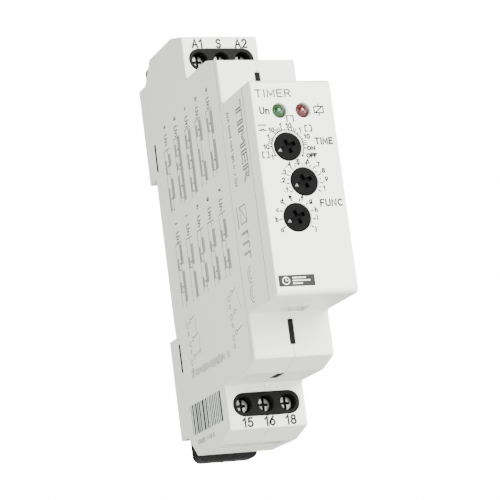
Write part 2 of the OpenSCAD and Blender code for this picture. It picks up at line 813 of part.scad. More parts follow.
// The armature and its contact blade are drawn closed and swung open about the pivot
module swung_open() {
    relay_frame() translate([0, pivot[0], pivot[1]]) rotate([-armature_open, 0, 0])
        translate([0, -pivot[0], -pivot[1]]) children();
}
module relay_armature() {
    x = coil_at[0] - yoke_w / 2 + 0.3;
    color("darkgray") swung_open() difference() {
        block([x, coil_at[1] - 3, armature_low], [x + yoke_w - 0.6, armature_end, armature_low + armature_t]);
        translate([0, pivot[0], pivot[1]]) rod_x(bead_r + 0.06, x - 1, x + yoke_w);
    }
}
module relay_moving_contact() {
    y = armature_end;
    x = coil_at[0];
    color("peru") swung_open() {
        block([x - 1.5, y, armature_low], [x + 1.5, y + blade_t, tip_z + 0.9]);
        translate([x, 0, tip_z]) rod_y(tip_r, y - tip_t, y + blade_t + tip_t);
    }
}

// The two fixed contacts that the moving blade swings between
module relay_fixed_contacts() {
    y = armature_end;
    x = coil_at[0];
    swing = (tip_z - pivot[1]) * sin(armature_open);
    gap = 0.09;
    rest_y = y + blade_t + tip_t + swing + gap;
    work_y = y - tip_t - gap;
    color("peru") relay_frame() {
        translate([x, 0, tip_z]) rod_y(tip_r, rest_y, rest_y + 0.3);
        block([relay_floor, rest_y + 0.3 - eps, tip_z - 1.2], [x + 1.2, rest_y + 0.5, tip_z + 1.1]);
        translate([x, 0, tip_z]) rod_y(tip_r, work_y - tip_t, work_y);
        block([relay_floor, work_y - tip_t - blade_t, tip_z - 1.2],
              [x + 1.2, work_y - tip_t + eps, tip_z + 1.1]);
    }
}
module relay_pins() {
    color("silver") relay_frame() for (p = pin_at) translate([0, p[0], p[1]])
        rod_x(0.4, -board_t - 0.8, relay_floor);
}

left_shell();
right_shell();
front_cover();
range_knob();
time_knob();
function_knob();
range_rotor();
time_rotor();
function_rotor();
range_switch_body();
time_trimmer_body();
function_switch_body();
green_lamp();
red_lamp();
lamp_leads();
upper_terminal_block();
lower_terminal_block();
upper_contact_bars();
lower_contact_bars();
screw_a1();
screw_s();
screw_a2();
screw_15();
screw_16();
screw_18();
cage_a1();
cage_s();
cage_a2();
cage_15();
cage_16();
cage_18();
upper_rail_latch();
lower_rail_latch();
upper_latch_spring();
lower_latch_spring();
main_board();
front_board();
board_connector();
connector_pins();
film_capacitor();
smoothing_capacitor();
varistor();
controller_chip();
resistors();
diodes();
relay_base();
relay_cover();
relay_bobbin();
relay_winding();
relay_core();
relay_yoke();
relay_armature();
relay_moving_contact();
relay_fixed_contacts();
relay_pins();
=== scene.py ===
import json
import math

import bmesh
import bpy
from mathutils import Matrix, Vector

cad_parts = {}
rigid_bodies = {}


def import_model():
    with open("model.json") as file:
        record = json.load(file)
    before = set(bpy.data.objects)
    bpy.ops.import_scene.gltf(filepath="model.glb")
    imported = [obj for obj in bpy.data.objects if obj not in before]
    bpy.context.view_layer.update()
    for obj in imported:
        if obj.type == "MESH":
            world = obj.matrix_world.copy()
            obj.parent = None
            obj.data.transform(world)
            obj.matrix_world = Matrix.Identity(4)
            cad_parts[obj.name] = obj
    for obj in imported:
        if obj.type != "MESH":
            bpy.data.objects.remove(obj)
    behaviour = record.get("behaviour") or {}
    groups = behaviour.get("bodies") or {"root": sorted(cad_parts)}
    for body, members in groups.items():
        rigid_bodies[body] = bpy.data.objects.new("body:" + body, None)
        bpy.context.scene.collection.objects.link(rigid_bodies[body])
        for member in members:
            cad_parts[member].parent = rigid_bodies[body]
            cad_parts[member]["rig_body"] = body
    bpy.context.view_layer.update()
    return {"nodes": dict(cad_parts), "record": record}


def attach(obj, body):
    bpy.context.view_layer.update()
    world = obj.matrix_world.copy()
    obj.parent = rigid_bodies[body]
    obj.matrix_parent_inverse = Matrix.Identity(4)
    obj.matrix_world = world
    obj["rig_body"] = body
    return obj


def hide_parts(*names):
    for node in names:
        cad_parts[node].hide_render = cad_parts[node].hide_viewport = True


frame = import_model()        # bodies, nodes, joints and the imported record
cadNodes = frame["nodes"]
slotOf = {part["node"]: part["material_slot"] for part in frame["record"]["subparts"]}
mm = 0.001
print("frame loaded with", len(cadNodes), "nodes")


# Camera, light and floor

view = {
    "target": (0.0004, -0.0268, -0.0050),
    "distance": 0.489,
    "azimuth": -22.71,
    "elevation": -12.30,
    "roll": -7.45,
    "lens": 165.6,
    "sensor": 36.0,
}


def aimCamera(setup):
    camera = bpy.data.cameras.new("viewCamera")
    camera.lens = setup["lens"]
    camera.sensor_width = setup["sensor"]
    camera.clip_start = 0.01
    camera.clip_end = 20
    holder = bpy.data.objects.new("viewCamera", camera)
    bpy.context.scene.collection.objects.link(holder)
    turn = (Matrix.Rotation(math.radians(setup["azimuth"]), 4, "Z")
            @ Matrix.Rotation(math.radians(90 - setup["elevation"]), 4, "X")
            @ Matrix.Rotation(math.radians(setup["roll"]), 4, "Z"))
    back = turn @ Vector((0, 0, setup["distance"]))
    holder.matrix_world = Matrix.Translation(Vector(setup["target"]) + back) @ turn
    bpy.context.scene.camera = holder


aimCamera(view)

studio = {
    "floorSize": 6.0,
    "floorDrop": 0.34,       # the relay hangs well above the floor
    "floorColor": (0.80, 0.80, 0.79),
    "ambient": 0.10,
    "backdrop": 16.0,
    "boxes": [
        # name, place, size, power, colour
        ("keyBox", (0.55, -1.30, 0.55), 0.9, 52, (0.985, 1.0, 0.965)),
        ("highBox", (0.35, -1.50, 1.10), 0.9, 30, (1.0, 1.0, 0.99)),
        ("sideBox", (-1.30, -0.55, 0.35), 0.9, 31, (0.985, 1.0, 0.985)),
        ("frontBox", (-0.20, -1.45, 0.10), 0.9, 14, (1.0, 1.0, 1.0)),
        ("rightBox", (1.30, -0.70, 0.20), 0.9, 10, (1.0, 1.0, 1.0)),
        ("lowBox", (1.10, -1.10, -0.25), 0.4, 13, (1.0, 1.0, 1.0)),
    ],
}


def softBox(name, place, size, power, colour):
    light = bpy.data.lights.new(name, "AREA")
    light.shape = "SQUARE"
    light.size = size
    light.energy = power
    light.color = colour
    holder = bpy.data.objects.new(name, light)
    bpy.context.scene.collection.objects.link(holder)
    aim = Vector(view["target"]) - Vector(place)
    holder.matrix_world = Matrix.Translation(place) @ aim.to_track_quat("-Z", "Y").to_matrix().to_4x4()


for box in studio["boxes"]:
    softBox(*box)


def whiteSurround(ambient, backdrop):
    world = bpy.data.worlds.new("whiteSurround")
    world.use_nodes = True
    tree = world.node_tree
    tree.nodes.clear()
    rays = tree.nodes.new("ShaderNodeLightPath")
    lit = tree.nodes.new("ShaderNodeBackground")
    seen = tree.nodes.new("ShaderNodeBackground")
    mix = tree.nodes.new("ShaderNodeMixShader")
    out = tree.nodes.new("ShaderNodeOutputWorld")
    lit.inputs["Strength"].default_value = ambient
    lit.inputs["Color"].default_value = (1.0, 1.0, 0.99, 1)
    seen.inputs["Strength"].default_value = backdrop
    seen.inputs["Color"].default_value = (1, 1, 1, 1)
    tree.links.new(rays.outputs["Is Camera Ray"], mix.inputs["Fac"])
    tree.links.new(lit.outputs[0], mix.inputs[1])
    tree.links.new(seen.outputs[0], mix.inputs[2])
    tree.links.new(mix.outputs[0], out.inputs["Surface"])
    bpy.context.scene.world = world


whiteSurround(studio["ambient"], studio["backdrop"])


# Node helpers

# Sets a node's inputs: a socket is linked, anything else is a plain value
def setInputs(node, values):
    for key, value in values.items():
        if isinstance(value, bpy.types.NodeSocket):
            node.id_data.links.new(value, node.inputs[key])
        else:
            node.inputs[key].default_value = value


def addNode(tree, kind, values=None, **settings):
    node = tree.nodes.new(kind)
    for key, value in settings.items():
        setattr(node, key, value)
    setInputs(node, values or {})
    return node


# The kind of socket that holds a value
def socketFor(value):
    if value is None:
        return "NodeSocketMaterial"
    if isinstance(value, tuple):
        return "NodeSocketColor" if len(value) == 4 else "NodeSocketVector"
    return "NodeSocketInt" if isinstance(value, int) else "NodeSocketFloat"


def newGroup(name, inputs, outputs, kind="ShaderNodeTree"):
    tree = bpy.data.node_groups.new(name, kind)
    for label, value in inputs.items():
        socket = tree.interface.new_socket(name=label, in_out="INPUT", socket_type=socketFor(value))
        socket.default_value = value
    for label, socketKind in outputs:
        tree.interface.new_socket(name=label, in_out="OUTPUT", socket_type=socketKind)
    return tree, tree.nodes.new("NodeGroupInput"), tree.nodes.new("NodeGroupOutput")


# Makes the instances of a shape real, gives it its material and ends the tree
def endTree(tree, shape, material, sink):
    real = addNode(tree, "GeometryNodeRealizeInstances", {0: shape})
    done = addNode(tree, "GeometryNodeSetMaterial", {"Geometry": real.outputs[0], "Material": material})
    tree.links.new(done.outputs[0], sink.inputs["Geometry"])
    return tree


def rgba(colour):
    return (*colour[:3], 1.0)


surfaceOutputs = [("Color", "NodeSocketColor"), ("Roughness", "NodeSocketFloat"),
                  ("Height", "NodeSocketFloat")]


# Moulded surface: fine grain, a slow cloud of tint and a few soft scuffs
def makeMouldedGroup():
    tree, source, sink = newGroup(
        "mouldedSurface",
        {"Color": (0.8, 0.8, 0.8, 1), "Tint": (0.7, 0.7, 0.7, 1), "Grain": 6000.0, "Cloud": 45.0,
         "Roughness": 0.45, "Rub": 0.06},
        surfaceOutputs)
    link = tree.links.new
    where = addNode(tree, "ShaderNodeTexCoord")
    grain = addNode(tree, "ShaderNodeTexNoise", {"Detail": 3.0, "Roughness": 0.55})
    cloud = addNode(tree, "ShaderNodeTexNoise", {"Detail": 4.0, "Roughness": 0.5, "Distortion": 0.4})
    scuff = addNode(tree, "ShaderNodeTexNoise", {"Scale": 240.0, "Detail": 6.0, "Roughness": 0.7})
    for texture in (grain, cloud, scuff):
        link(where.outputs["Object"], texture.inputs["Vector"])
    link(source.outputs["Grain"], grain.inputs["Scale"])
    link(source.outputs["Cloud"], cloud.inputs["Scale"])
    spread = addNode(tree, "ShaderNodeMapRange", {
        "From Min": 0.35, "From Max": 0.65, "Value": cloud.outputs["Fac"]})
    mix = addNode(tree, "ShaderNodeMix", {
        "Factor": spread.outputs["Result"], "A": source.outputs["Color"],
        "B": source.outputs["Tint"]}, data_type="RGBA")
    fleck = addNode(tree, "ShaderNodeMapRange", {
        "From Min": 0.3, "From Max": 0.7, "To Min": 0.965, "To Max": 1.03, "Value": grain.outputs["Fac"]})
    speckled = addNode(tree, "ShaderNodeVectorMath", {
        0: mix.outputs["Result"], "Scale": fleck.outputs["Result"]}, operation="SCALE")
    link(speckled.outputs[0], sink.inputs["Color"])
    rub = addNode(tree, "ShaderNodeMath", operation="MULTIPLY_ADD")
    centred = addNode(tree, "ShaderNodeMath", {1: 0.5, 0: scuff.outputs["Fac"]}, operation="SUBTRACT")
    setInputs(rub, {0: centred.outputs[0], 1: source.outputs["Rub"], 2: source.outputs["Roughness"]})
    setInputs(sink, {"Roughness": rub.outputs[0], "Height": grain.outputs["Fac"]})
    return tree


# Metal: fine scratches along one axis over a mottled plating
def makeMetalGroup():
    tree, source, sink = newGroup(
        "workedMetal",
        {"Color": (0.8, 0.8, 0.8, 1), "Dull": (0.5, 0.5, 0.5, 1), "Scratch": (900.0, 9000.0, 9000.0),
         "Patch": 900.0, "Roughness": 0.3},
        surfaceOutputs)
    link = tree.links.new
    where = addNode(tree, "ShaderNodeTexCoord")
    stretch = addNode(tree, "ShaderNodeVectorMath", {
        0: where.outputs["Object"], 1: source.outputs["Scratch"]}, operation="MULTIPLY")
    lines = addNode(tree, "ShaderNodeTexNoise", {
        "Scale": 1.0, "Detail": 4.0, "Roughness": 0.65, "Vector": stretch.outputs[0]})
    patch = addNode(tree, "ShaderNodeTexNoise", {
        "Detail": 3.0, "Vector": where.outputs["Object"], "Scale": source.outputs["Patch"]})
    spread = addNode(tree, "ShaderNodeMapRange", {
        "From Min": 0.4, "From Max": 0.68, "Value": patch.outputs["Fac"]})
    mix = addNode(tree, "ShaderNodeMix", {
        "Factor": spread.outputs["Result"], "A": source.outputs["Color"],
        "B": source.outputs["Dull"]}, data_type="RGBA")
    link(mix.outputs["Result"], sink.inputs["Color"])
    rough = addNode(tree, "ShaderNodeMath", {1: 0.22}, operation="MULTIPLY_ADD")
    centred = addNode(tree, "ShaderNodeMath", {1: 0.5, 0: lines.outputs["Fac"]}, operation="SUBTRACT")
    setInputs(rough, {0: centred.outputs[0], 2: source.outputs["Roughness"]})
    setInputs(sink, {"Roughness": rough.outputs[0], "Height": lines.outputs["Fac"]})
    return tree


mouldedSurface = makeMouldedGroup()
workedMetal = makeMetalGroup()


def newMaterial(name):
    material = bpy.data.materials.new(name)
    material.use_nodes = True
    tree = material.node_tree
    tree.nodes.clear()
    shader = addNode(tree, "ShaderNodeBsdfPrincipled")
    addNode(tree, "ShaderNodeOutputMaterial", {"Surface": shader.outputs[0]})
    return material, tree, shader


def useGroup(tree, group, values):
    node = tree.nodes.new("ShaderNodeGroup")
    node.node_tree = group
    setInputs(node, values)
    return node


def bumpFrom(tree, shader, height, strength, depth):
    bump = addNode(tree, "ShaderNodeBump", {"Strength": strength, "Distance": depth, "Height": height})
    tree.links.new(bump.outputs["Normal"], shader.inputs["Normal"])


def mouldedPlastic(name, colour, tint, rough, grain=6000.0, cloud=45.0, rub=0.08, relief=0.35,
                   coat=0.0, coatRough=0.15, level=0.5):
    material, tree, shader = newMaterial(name)
    group = useGroup(tree, mouldedSurface, {"Color": rgba(colour), "Tint": rgba(tint), "Grain": grain,
                                            "Cloud": cloud, "Roughness": rough, "Rub": rub})
    setInputs(shader, {
        "Base Color": group.outputs["Color"], "Roughness": group.outputs["Roughness"], "Coat Weight": coat,
        "Coat Roughness": coatRough, "Specular IOR Level": level})
    bumpFrom(tree, shader, group.outputs["Height"], relief, 0.00002)
    return material


def platedMetal(name, colour, dull, rough, scratch=(900.0, 9000.0, 9000.0), patch=900.0, relief=0.3):
    material, tree, shader = newMaterial(name)
    group = useGroup(tree, workedMetal, {"Color": rgba(colour), "Dull": rgba(dull), "Scratch": scratch,
                                         "Patch": patch, "Roughness": rough})
    setInputs(shader, {
        "Base Color": group.outputs["Color"], "Roughness": group.outputs["Roughness"], "Metallic": 1.0})
    bumpFrom(tree, shader, group.outputs["Height"], relief, 0.00001)
    return material


# Printed ink, also used for the painted shade in the slots and seams: slightly uneven in tint and roughness,
# with little gloss
def printInk(name, colour, fade, rough=0.5):
    material, tree, shader = newMaterial(name)
    group = useGroup(tree, mouldedSurface, {"Color": rgba(colour), "Tint": rgba(fade), "Grain": 9000.0,
                                            "Cloud": 500.0, "Roughness": rough, "Rub": 0.1})
    setInputs(shader, {
        "Base Color": group.outputs["Color"], "Roughness": group.outputs["Roughness"],
        "Specular IOR Level": 0.2})
    return material


# Tinted resin in two close shades, partly clear under a glossy coat
def tintedLens(name, colour, deep):
    material, tree, shader = newMaterial(name)
    where = addNode(tree, "ShaderNodeTexCoord")
    haze = addNode(tree, "ShaderNodeTexNoise", {
        "Scale": 900.0, "Detail": 2.0, "Vector": where.outputs["Object"]})
    mix = addNode(tree, "ShaderNodeMix", {
        "A": rgba(colour), "B": rgba(deep), "Factor": haze.outputs["Fac"]}, data_type="RGBA")
    setInputs(shader, {
        "Base Color": mix.outputs["Result"], "Roughness": 0.05, "Transmission Weight": 0.22, "IOR": 1.5,
        "Coat Weight": 0.5, "Coat Roughness": 0.03, "Specular IOR Level": 0.35})
    return material


# Circuit board: solder mask with paler tracks and tinned pads
def boardLaminate(name, colour):
    material, tree, shader = newMaterial(name)
    link = tree.links.new
    where = addNode(tree, "ShaderNodeTexCoord")
    tracks = addNode(tree, "ShaderNodeTexVoronoi", {
        "Scale": 420.0, "Randomness": 0.35}, feature="DISTANCE_TO_EDGE", distance="MANHATTAN")
    pads = addNode(tree, "ShaderNodeTexVoronoi", {"Scale": 330.0, "Randomness": 0.2})
    for texture in (tracks, pads):
        link(where.outputs["Object"], texture.inputs["Vector"])
    line = addNode(tree, "ShaderNodeMapRange", {
        "From Min": 0.05, "From Max": 0.09, "To Min": 1.0, "To Max": 0.0,
        "Value": tracks.outputs["Distance"]})
    dot = addNode(tree, "ShaderNodeMapRange", {
        "From Min": 0.16, "From Max": 0.2, "To Min": 1.0, "To Max": 0.0,
        "Value": pads.outputs["Distance"]})
    paler = tuple(c * 1.9 for c in colour[:3])
    mixed = addNode(tree, "ShaderNodeMix", {
        "A": rgba(colour), "B": rgba(paler), "Factor": line.outputs["Result"]}, data_type="RGBA")
    tinned = addNode(tree, "ShaderNodeMix", {
        "B": (0.7, 0.7, 0.68, 1), "Factor": dot.outputs["Result"],
        "A": mixed.outputs["Result"]}, data_type="RGBA")
    setInputs(shader, {
        "Base Color": tinned.outputs["Result"], "Metallic": dot.outputs["Result"], "Roughness": 0.28})
    bumpFrom(tree, shader, line.outputs["Result"], 0.4, 0.00003)
    return material


# Enamelled wire wound in close turns along Z, with painted shade in the darker bands between the turns
def woundWire(name, colour, pitch):
    material, tree, shader = newMaterial(name)
    where = addNode(tree, "ShaderNodeTexCoord")
    turns = addNode(tree, "ShaderNodeTexWave", {
        "Scale": 1 / pitch / 20, "Distortion": 0.6, "Detail": 1.0, "Detail Scale": 2.0,
        "Vector": where.outputs["Object"]}, bands_direction="Z")
    # The darker colour between the turns is painted shade
    deep = tuple(c * 0.35 for c in colour[:3])
    mix = addNode(tree, "ShaderNodeMix", {
        "A": rgba(deep), "B": rgba(colour), "Factor": turns.outputs["Fac"]}, data_type="RGBA")
    setInputs(shader, {"Base Color": mix.outputs["Result"], "Metallic": 0.8, "Roughness": 0.3})
    bumpFrom(tree, shader, turns.outputs["Fac"], 0.8, 0.00008)
    return material


# Resistors and diodes: lacquered bodies with bands round their length
def bandedBody(name, colour, bands):
    material, tree, shader = newMaterial(name)
    link = tree.links.new
    where = addNode(tree, "ShaderNodeTexCoord")
    split = addNode(tree, "ShaderNodeSeparateXYZ", {0: where.outputs["Object"]})
    along = addNode(tree, "ShaderNodeMapRange", {
        "From Min": bands["from"], "From Max": bands["to"], "Value": split.outputs["Z"]})
    ramp = addNode(tree, "ShaderNodeValToRGB")
    ramp.color_ramp.interpolation = "CONSTANT"
    ramp.color_ramp.elements[0].color = rgba(colour)
    ramp.color_ramp.elements[1].position = bands["stops"][0][0]
    ramp.color_ramp.elements[1].color = rgba(bands["stops"][0][1])
    for at, shade in bands["stops"][1:]:
        ramp.color_ramp.elements.new(at).color = rgba(shade)
    link(along.outputs["Result"], ramp.inputs["Fac"])
    fuzz = addNode(tree, "ShaderNodeTexNoise", {"Scale": 2500.0, "Vector": where.outputs["Object"]})
    setInputs(shader, {"Base Color": ramp.outputs["Color"], "Roughness": 0.35})
    bumpFrom(tree, shader, fuzz.outputs["Fac"], 0.3, 0.00003)
    return material


paleHousing = {"colour": (0.735, 0.760, 0.690), "tint": (0.715, 0.741, 0.672)}
resistorLacquer = (0.62, 0.48, 0.32)
resistorBands = {"from": 0.005, "to": 0.0115, "stops": [
    (0.16, (0.30, 0.05, 0.02)), (0.24, resistorLacquer), (0.34, (0.02, 0.02, 0.02)), (0.42, resistorLacquer),
    (0.52, (0.55, 0.18, 0.02)), (0.60, resistorLacquer), (0.78, (0.60, 0.42, 0.08)), (0.86, resistorLacquer)]}
diodeBands = {"from": 0.0135, "to": 0.0177, "stops": [(0.72, (0.60, 0.60, 0.60)), (0.86, (0.02, 0.02, 0.02))]}

finishes = {
    "housing_plastic": mouldedPlastic("housingPlastic", paleHousing["colour"], paleHousing["tint"], 0.50),
    "cover_plastic": mouldedPlastic("coverPlastic", (0.765, 0.795, 0.715), (0.755, 0.785, 0.706), 0.46,
                                    relief=0.22),
    "knob_plastic": mouldedPlastic("knobPlastic", (0.0026, 0.0026, 0.0027), (0.0034, 0.0034, 0.0035), 0.48,
                                   cloud=500.0, rub=0.12, relief=0.45, level=0.025),
    "black_plastic": mouldedPlastic("insertPlastic", (0.0050, 0.0050, 0.0050), (0.0064, 0.0064, 0.0062), 0.42,
                                    cloud=300.0, rub=0.15, level=0.03),
    "latch_plastic": mouldedPlastic("latchPlastic", (0.009, 0.009, 0.0095), (0.012, 0.012, 0.0125), 0.42,
                                    cloud=160.0, rub=0.14, level=0.12),
    "green_lens": tintedLens("greenLens", (0.003, 0.062, 0.005), (0.001, 0.030, 0.002)),
    "red_lens": tintedLens("redLens", (0.085, 0.002, 0.003), (0.042, 0.001, 0.0015)),
    "screw_steel": platedMetal("screwSteel", (0.150, 0.148, 0.140), (0.070, 0.069, 0.066), 0.34,
                               patch=1400.0),
    "cage_steel": platedMetal("cageSteel", (0.66, 0.66, 0.64), (0.48, 0.48, 0.46), 0.36),
    "contact_brass": platedMetal("contactBrass", (0.74, 0.60, 0.30), (0.52, 0.44, 0.27), 0.30),
    "spring_steel": platedMetal("springSteel", (0.60, 0.60, 0.60), (0.42, 0.42, 0.42), 0.28),
    "board_laminate": boardLaminate("boardLaminate", (0.012, 0.10, 0.04)),
    "rotor_plastic": mouldedPlastic("rotorPlastic", (0.72, 0.68, 0.56), (0.66, 0.61, 0.49), 0.5),
    "trimmer_plastic": mouldedPlastic("trimmerPlastic", (0.03, 0.10, 0.42), (0.02, 0.07, 0.33), 0.4),
    "capacitor_film": mouldedPlastic("capacitorBox", (0.62, 0.46, 0.08), (0.55, 0.40, 0.06), 0.4),
    "capacitor_sleeve": mouldedPlastic("capacitorSleeve", (0.012, 0.018, 0.07), (0.02, 0.03, 0.10), 0.22,
                                       coat=0.3),
    "varistor_coat": mouldedPlastic("varistorCoat", (0.03, 0.12, 0.42), (0.02, 0.09, 0.34), 0.3, relief=0.8,
                                    grain=1500.0),
    "chip_plastic": mouldedPlastic("chipPlastic", (0.015, 0.015, 0.016), (0.024, 0.024, 0.025), 0.5),
    "resistor_coat": bandedBody("resistorCoat", resistorLacquer, resistorBands),
    "tinned_wire": platedMetal("tinnedWire", (0.78, 0.78, 0.78), (0.60, 0.60, 0.60), 0.25),
    "relay_case_plastic": mouldedPlastic("relayCase", (0.28, 0.40, 0.52), (0.24, 0.35, 0.47), 0.2, coat=0.3),
    "relay_base_plastic": mouldedPlastic("relayBase", (0.03, 0.03, 0.03), (0.04, 0.04, 0.04), 0.45),
    "bobbin_plastic": mouldedPlastic("bobbinPlastic", (0.70, 0.66, 0.55), (0.64, 0.60, 0.50), 0.45),
    "copper_winding": woundWire("copperWinding", (0.55, 0.22, 0.08), 0.00012),
    "magnet_iron": platedMetal("magnetIron", (0.55, 0.55, 0.54), (0.38, 0.38, 0.37), 0.38),
    "contact_bronze": platedMetal("contactBronze", (0.66, 0.42, 0.24), (0.50, 0.32, 0.19), 0.3),
}
darkInk = printInk("darkInk", (0.0045, 0.0046, 0.0044), (0.0075, 0.0076, 0.0073))
greyInk = printInk("greyInk", (0.060, 0.062, 0.060), (0.080, 0.082, 0.079))
sideInk = printInk("sideInk", (0.060, 0.062, 0.059), (0.085, 0.087, 0.083))
barInk = printInk("barInk", (0.235, 0.240, 0.225), (0.285, 0.290, 0.272))
# Painted shade for the mould line and the cover joint
seamShadeInk = printInk("seamShadeInk", (0.150, 0.155, 0.145), (0.190, 0.195, 0.183))
# Painted shade for the slot and the cross of the screw heads
recessShadeSteel = platedMetal("recessShadeSteel", (0.020, 0.020, 0.019), (0.010, 0.010, 0.010), 0.5)
cupSteel = platedMetal("cupSteel", (0.30, 0.30, 0.29), (0.20, 0.20, 0.20), 0.35)
whiteInk = printInk("whiteInk", (0.74, 0.74, 0.72), (0.68, 0.68, 0.66))
pointerInk = printInk("pointerInk", (0.16, 0.16, 0.155), (0.12, 0.12, 0.117))
# Painted shade for the slot openings
shadeFilm = printInk("shadeFilm", (0.0025, 0.0025, 0.0025), (0.004, 0.004, 0.004), rough=0.9)


def paint(piece, material):
    piece.data.materials.clear()
    piece.data.materials.append(material)


for name, node in cadNodes.items():
    paint(node, finishes[slotOf[name]])
paint(cadNodes["diodes"], bandedBody("diodeBody", (0.02, 0.02, 0.02), diodeBands))
print("materials made:", len(bpy.data.materials))


# Mesh helpers

def linkPiece(name, mesh):
    piece = bpy.data.objects.new(name, mesh)
    bpy.context.scene.collection.objects.link(piece)
    return piece


def pieceFrom(bm, name):
    mesh = bpy.data.meshes.new(name)
    bm.to_mesh(mesh)
    bm.free()
    return linkPiece(name, mesh)


def smoothBelow(mesh, angle):
    mesh.polygons.foreach_set("use_smooth", [True] * len(mesh.polygons))
    mesh.set_sharp_from_angle(angle=math.radians(angle))


def mergedCopy(nodeName):
    bm = bmesh.new()
    bm.from_mesh(cadNodes[nodeName].data)
    bmesh.ops.remove_doubles(bm, verts=bm.verts, dist=0.000002)
    bmesh.ops.dissolve_limit(bm, angle_limit=math.radians(0.6), verts=bm.verts, edges=bm.edges)
    bm.normal_update()
    return bm


def faceWidth(face):
    return face.calc_area() / max(edge.calc_length() for edge in face.edges)


# Marks the convex edges that are long and wide enough to be rounded
def markEdges(bm, minFace, minLength, minAngle):
    weight = bm.edges.layers.float.get("bevel_weight_edge") or bm.edges.layers.float.new("bevel_weight_edge")
    for edge in bm.edges:
        if len(edge.link_faces) != 2 or not edge.is_convex:
            continue
        if edge.calc_face_angle(0) < math.radians(minAngle) or edge.calc_length() < minLength:
            continue
        if min(faceWidth(face) for face in edge.link_faces) < minFace:
            continue
        edge[weight] = 1.0


def bakeModifiers(piece):
    evaluated = piece.evaluated_get(bpy.context.evaluated_depsgraph_get())
    mesh = bpy.data.meshes.new_from_object(evaluated)
    old = piece.data
    piece.modifiers.clear()
    piece.data = mesh
    bpy.data.meshes.remove(old)


# A copy of a CAD node with small round edges, which then stands for the node
def softened(nodeName, name, width, minFace, minLength, segments=3, minAngle=28, adjust=None):
    bm = mergedCopy(nodeName)
    if adjust:
        adjust(bm)
    markEdges(bm, minFace, minLength, minAngle)
    piece = pieceFrom(bm, name)
    bevel = piece.modifiers.new("roundEdges", "BEVEL")
    bevel.limit_method = "WEIGHT"
    bevel.width = width
    bevel.segments = segments
    bevel.use_clamp_overlap = False
    bevel.miter_outer = "MITER_ARC"
    smoothBelow(piece.data, 32)
    normals = piece.modifiers.new("evenNormals", "WEIGHTED_NORMAL")
    normals.keep_sharp = True
    bakeModifiers(piece)
    paint(piece, finishes[slotOf[nodeName]])
    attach(piece, cadNodes[nodeName]["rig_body"])
    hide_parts(nodeName)
    return piece


# Housing, cover, latches and inserts

housingEdges = {"width": 0.22 * mm, "minFace": 0.5 * mm, "minLength": 0.35 * mm}
softened("left_shell", "leftShell", **housingEdges)
softened("right_shell", "rightShell", **housingEdges)
coverEdges = {"width": 0.25 * mm, "minFace": 0.1 * mm, "minLength": 0.1 * mm}
softened("front_cover", "frontCover", **coverEdges)
latchEdges = {"width": 0.2 * mm, "minFace": 0.1 * mm, "minLength": 0.1 * mm}
softened("upper_rail_latch", "upperRailLatch", **latchEdges)
softened("lower_rail_latch", "lowerRailLatch", **latchEdges)
insertEdges = {"width": 0.12 * mm, "minFace": 0.25 * mm, "minLength": 0.1 * mm}
softened("upper_terminal_block", "upperTerminalBlock", **insertEdges)
softened("lower_terminal_block", "lowerTerminalBlock", **insertEdges)
print("housing, cover, latches and inserts rounded")


# Knobs

knobs = {
    "range": {"centre": (-2.32, 8.21)},
    "time": {"centre": (0.25, 0.87)},
    "function": {"centre": (-2.32, -6.47)},
}
knobLook = {
    "faceY": -59.90,
    "inkDepth": 0.015,
    "faceBand": 0.005,           # points this near the face belong to it
    "pointerAngle": 204.0,
    "pointerRadius": 2.12,
    "pointerLength": 0.80,
    "pointerWidth": 0.78,
    "pointerLift": 0.001,
    "pointerRoot": 0.05,
    "edge": {"width": 0.10 * mm, "minFace": 0.02 * mm, "minLength": 0.02 * mm},
}


# Sets the face back by the thickness of the ink that lies on it
def setBackFace(bm):
    limit = (knobLook["faceY"] + knobLook["faceBand"]) * mm
    for vert in bm.verts:
        if vert.co.y < limit:
            vert.co.y = (knobLook["faceY"] + knobLook["inkDepth"]) * mm


def pointerMark(dial):
    centre = knobs[dial]["centre"]
    angle = math.radians(knobLook["pointerAngle"])
    along = Vector((math.cos(angle), math.sin(angle)))
    across = Vector((-along.y, along.x)) * knobLook["pointerWidth"] / 2
    middle = Vector(centre) + along * knobLook["pointerRadius"]
    reach = along * knobLook["pointerLength"] / 2
    corners = [middle + reach, middle - reach - across, middle - reach + across]
    bm = bmesh.new()
    front, rear = [[bm.verts.new((c.x * mm, (knobLook["faceY"] + knobLook[depth]) * mm, c.y * mm))
                    for c in corners] for depth in ("pointerLift", "pointerRoot")]
    bm.faces.new(front)
    bm.faces.new(rear[::-1])
    for i in range(3):
        j = (i + 1) % 3
        bm.faces.new((front[j], front[i], rear[i], rear[j]))
    bmesh.ops.recalc_face_normals(bm, faces=bm.faces)
    piece = pieceFrom(bm, dial + "Pointer")
    paint(piece, pointerInk)
    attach(piece, dial + "_dial")


for dial in knobs:
    softened(dial + "_knob", dial + "Knob", adjust=setBackFace, **knobLook["edge"])
    pointerMark(dial)
print("knobs made")


# Print on the front, the terminal faces and the left side

frontFace = -59.80
planes = {
    # origin, direction of reading, direction up, all in millimetres
    "front": (Vector((0, frontFace, 0)), Vector((1, 0, 0)), Vector((0, 0, 1))),
    "terminals": (Vector((0, -25.90, 0)), Vector((1, 0, 0)), Vector((0, 0, 1))),
    "plate": (Vector((0, frontFace - 0.015, 0)), Vector((1, 0, 0)), Vector((0, 0, 1))),
    "left": (Vector((-8.77, 4.2, 0)), Vector((0, -1, 0)), Vector((0, 0, 1))),
    "right": (Vector((8.77, 4.2, 0)), Vector((0, -1, 0)), Vector((0, 0, -1))),
}
inkHeight = 0.02
inkRoot = 0.02
capShare = 0.70          # cap height of the built-in font at size one


def planeMatrix(plane):
    origin, right, up = planes[plane]
    out = right.cross(up)
    matrix = Matrix((right, up, out)).transposed().to_4x4()
    return Matrix.Scale(mm, 4) @ Matrix.Translation(origin) @ matrix


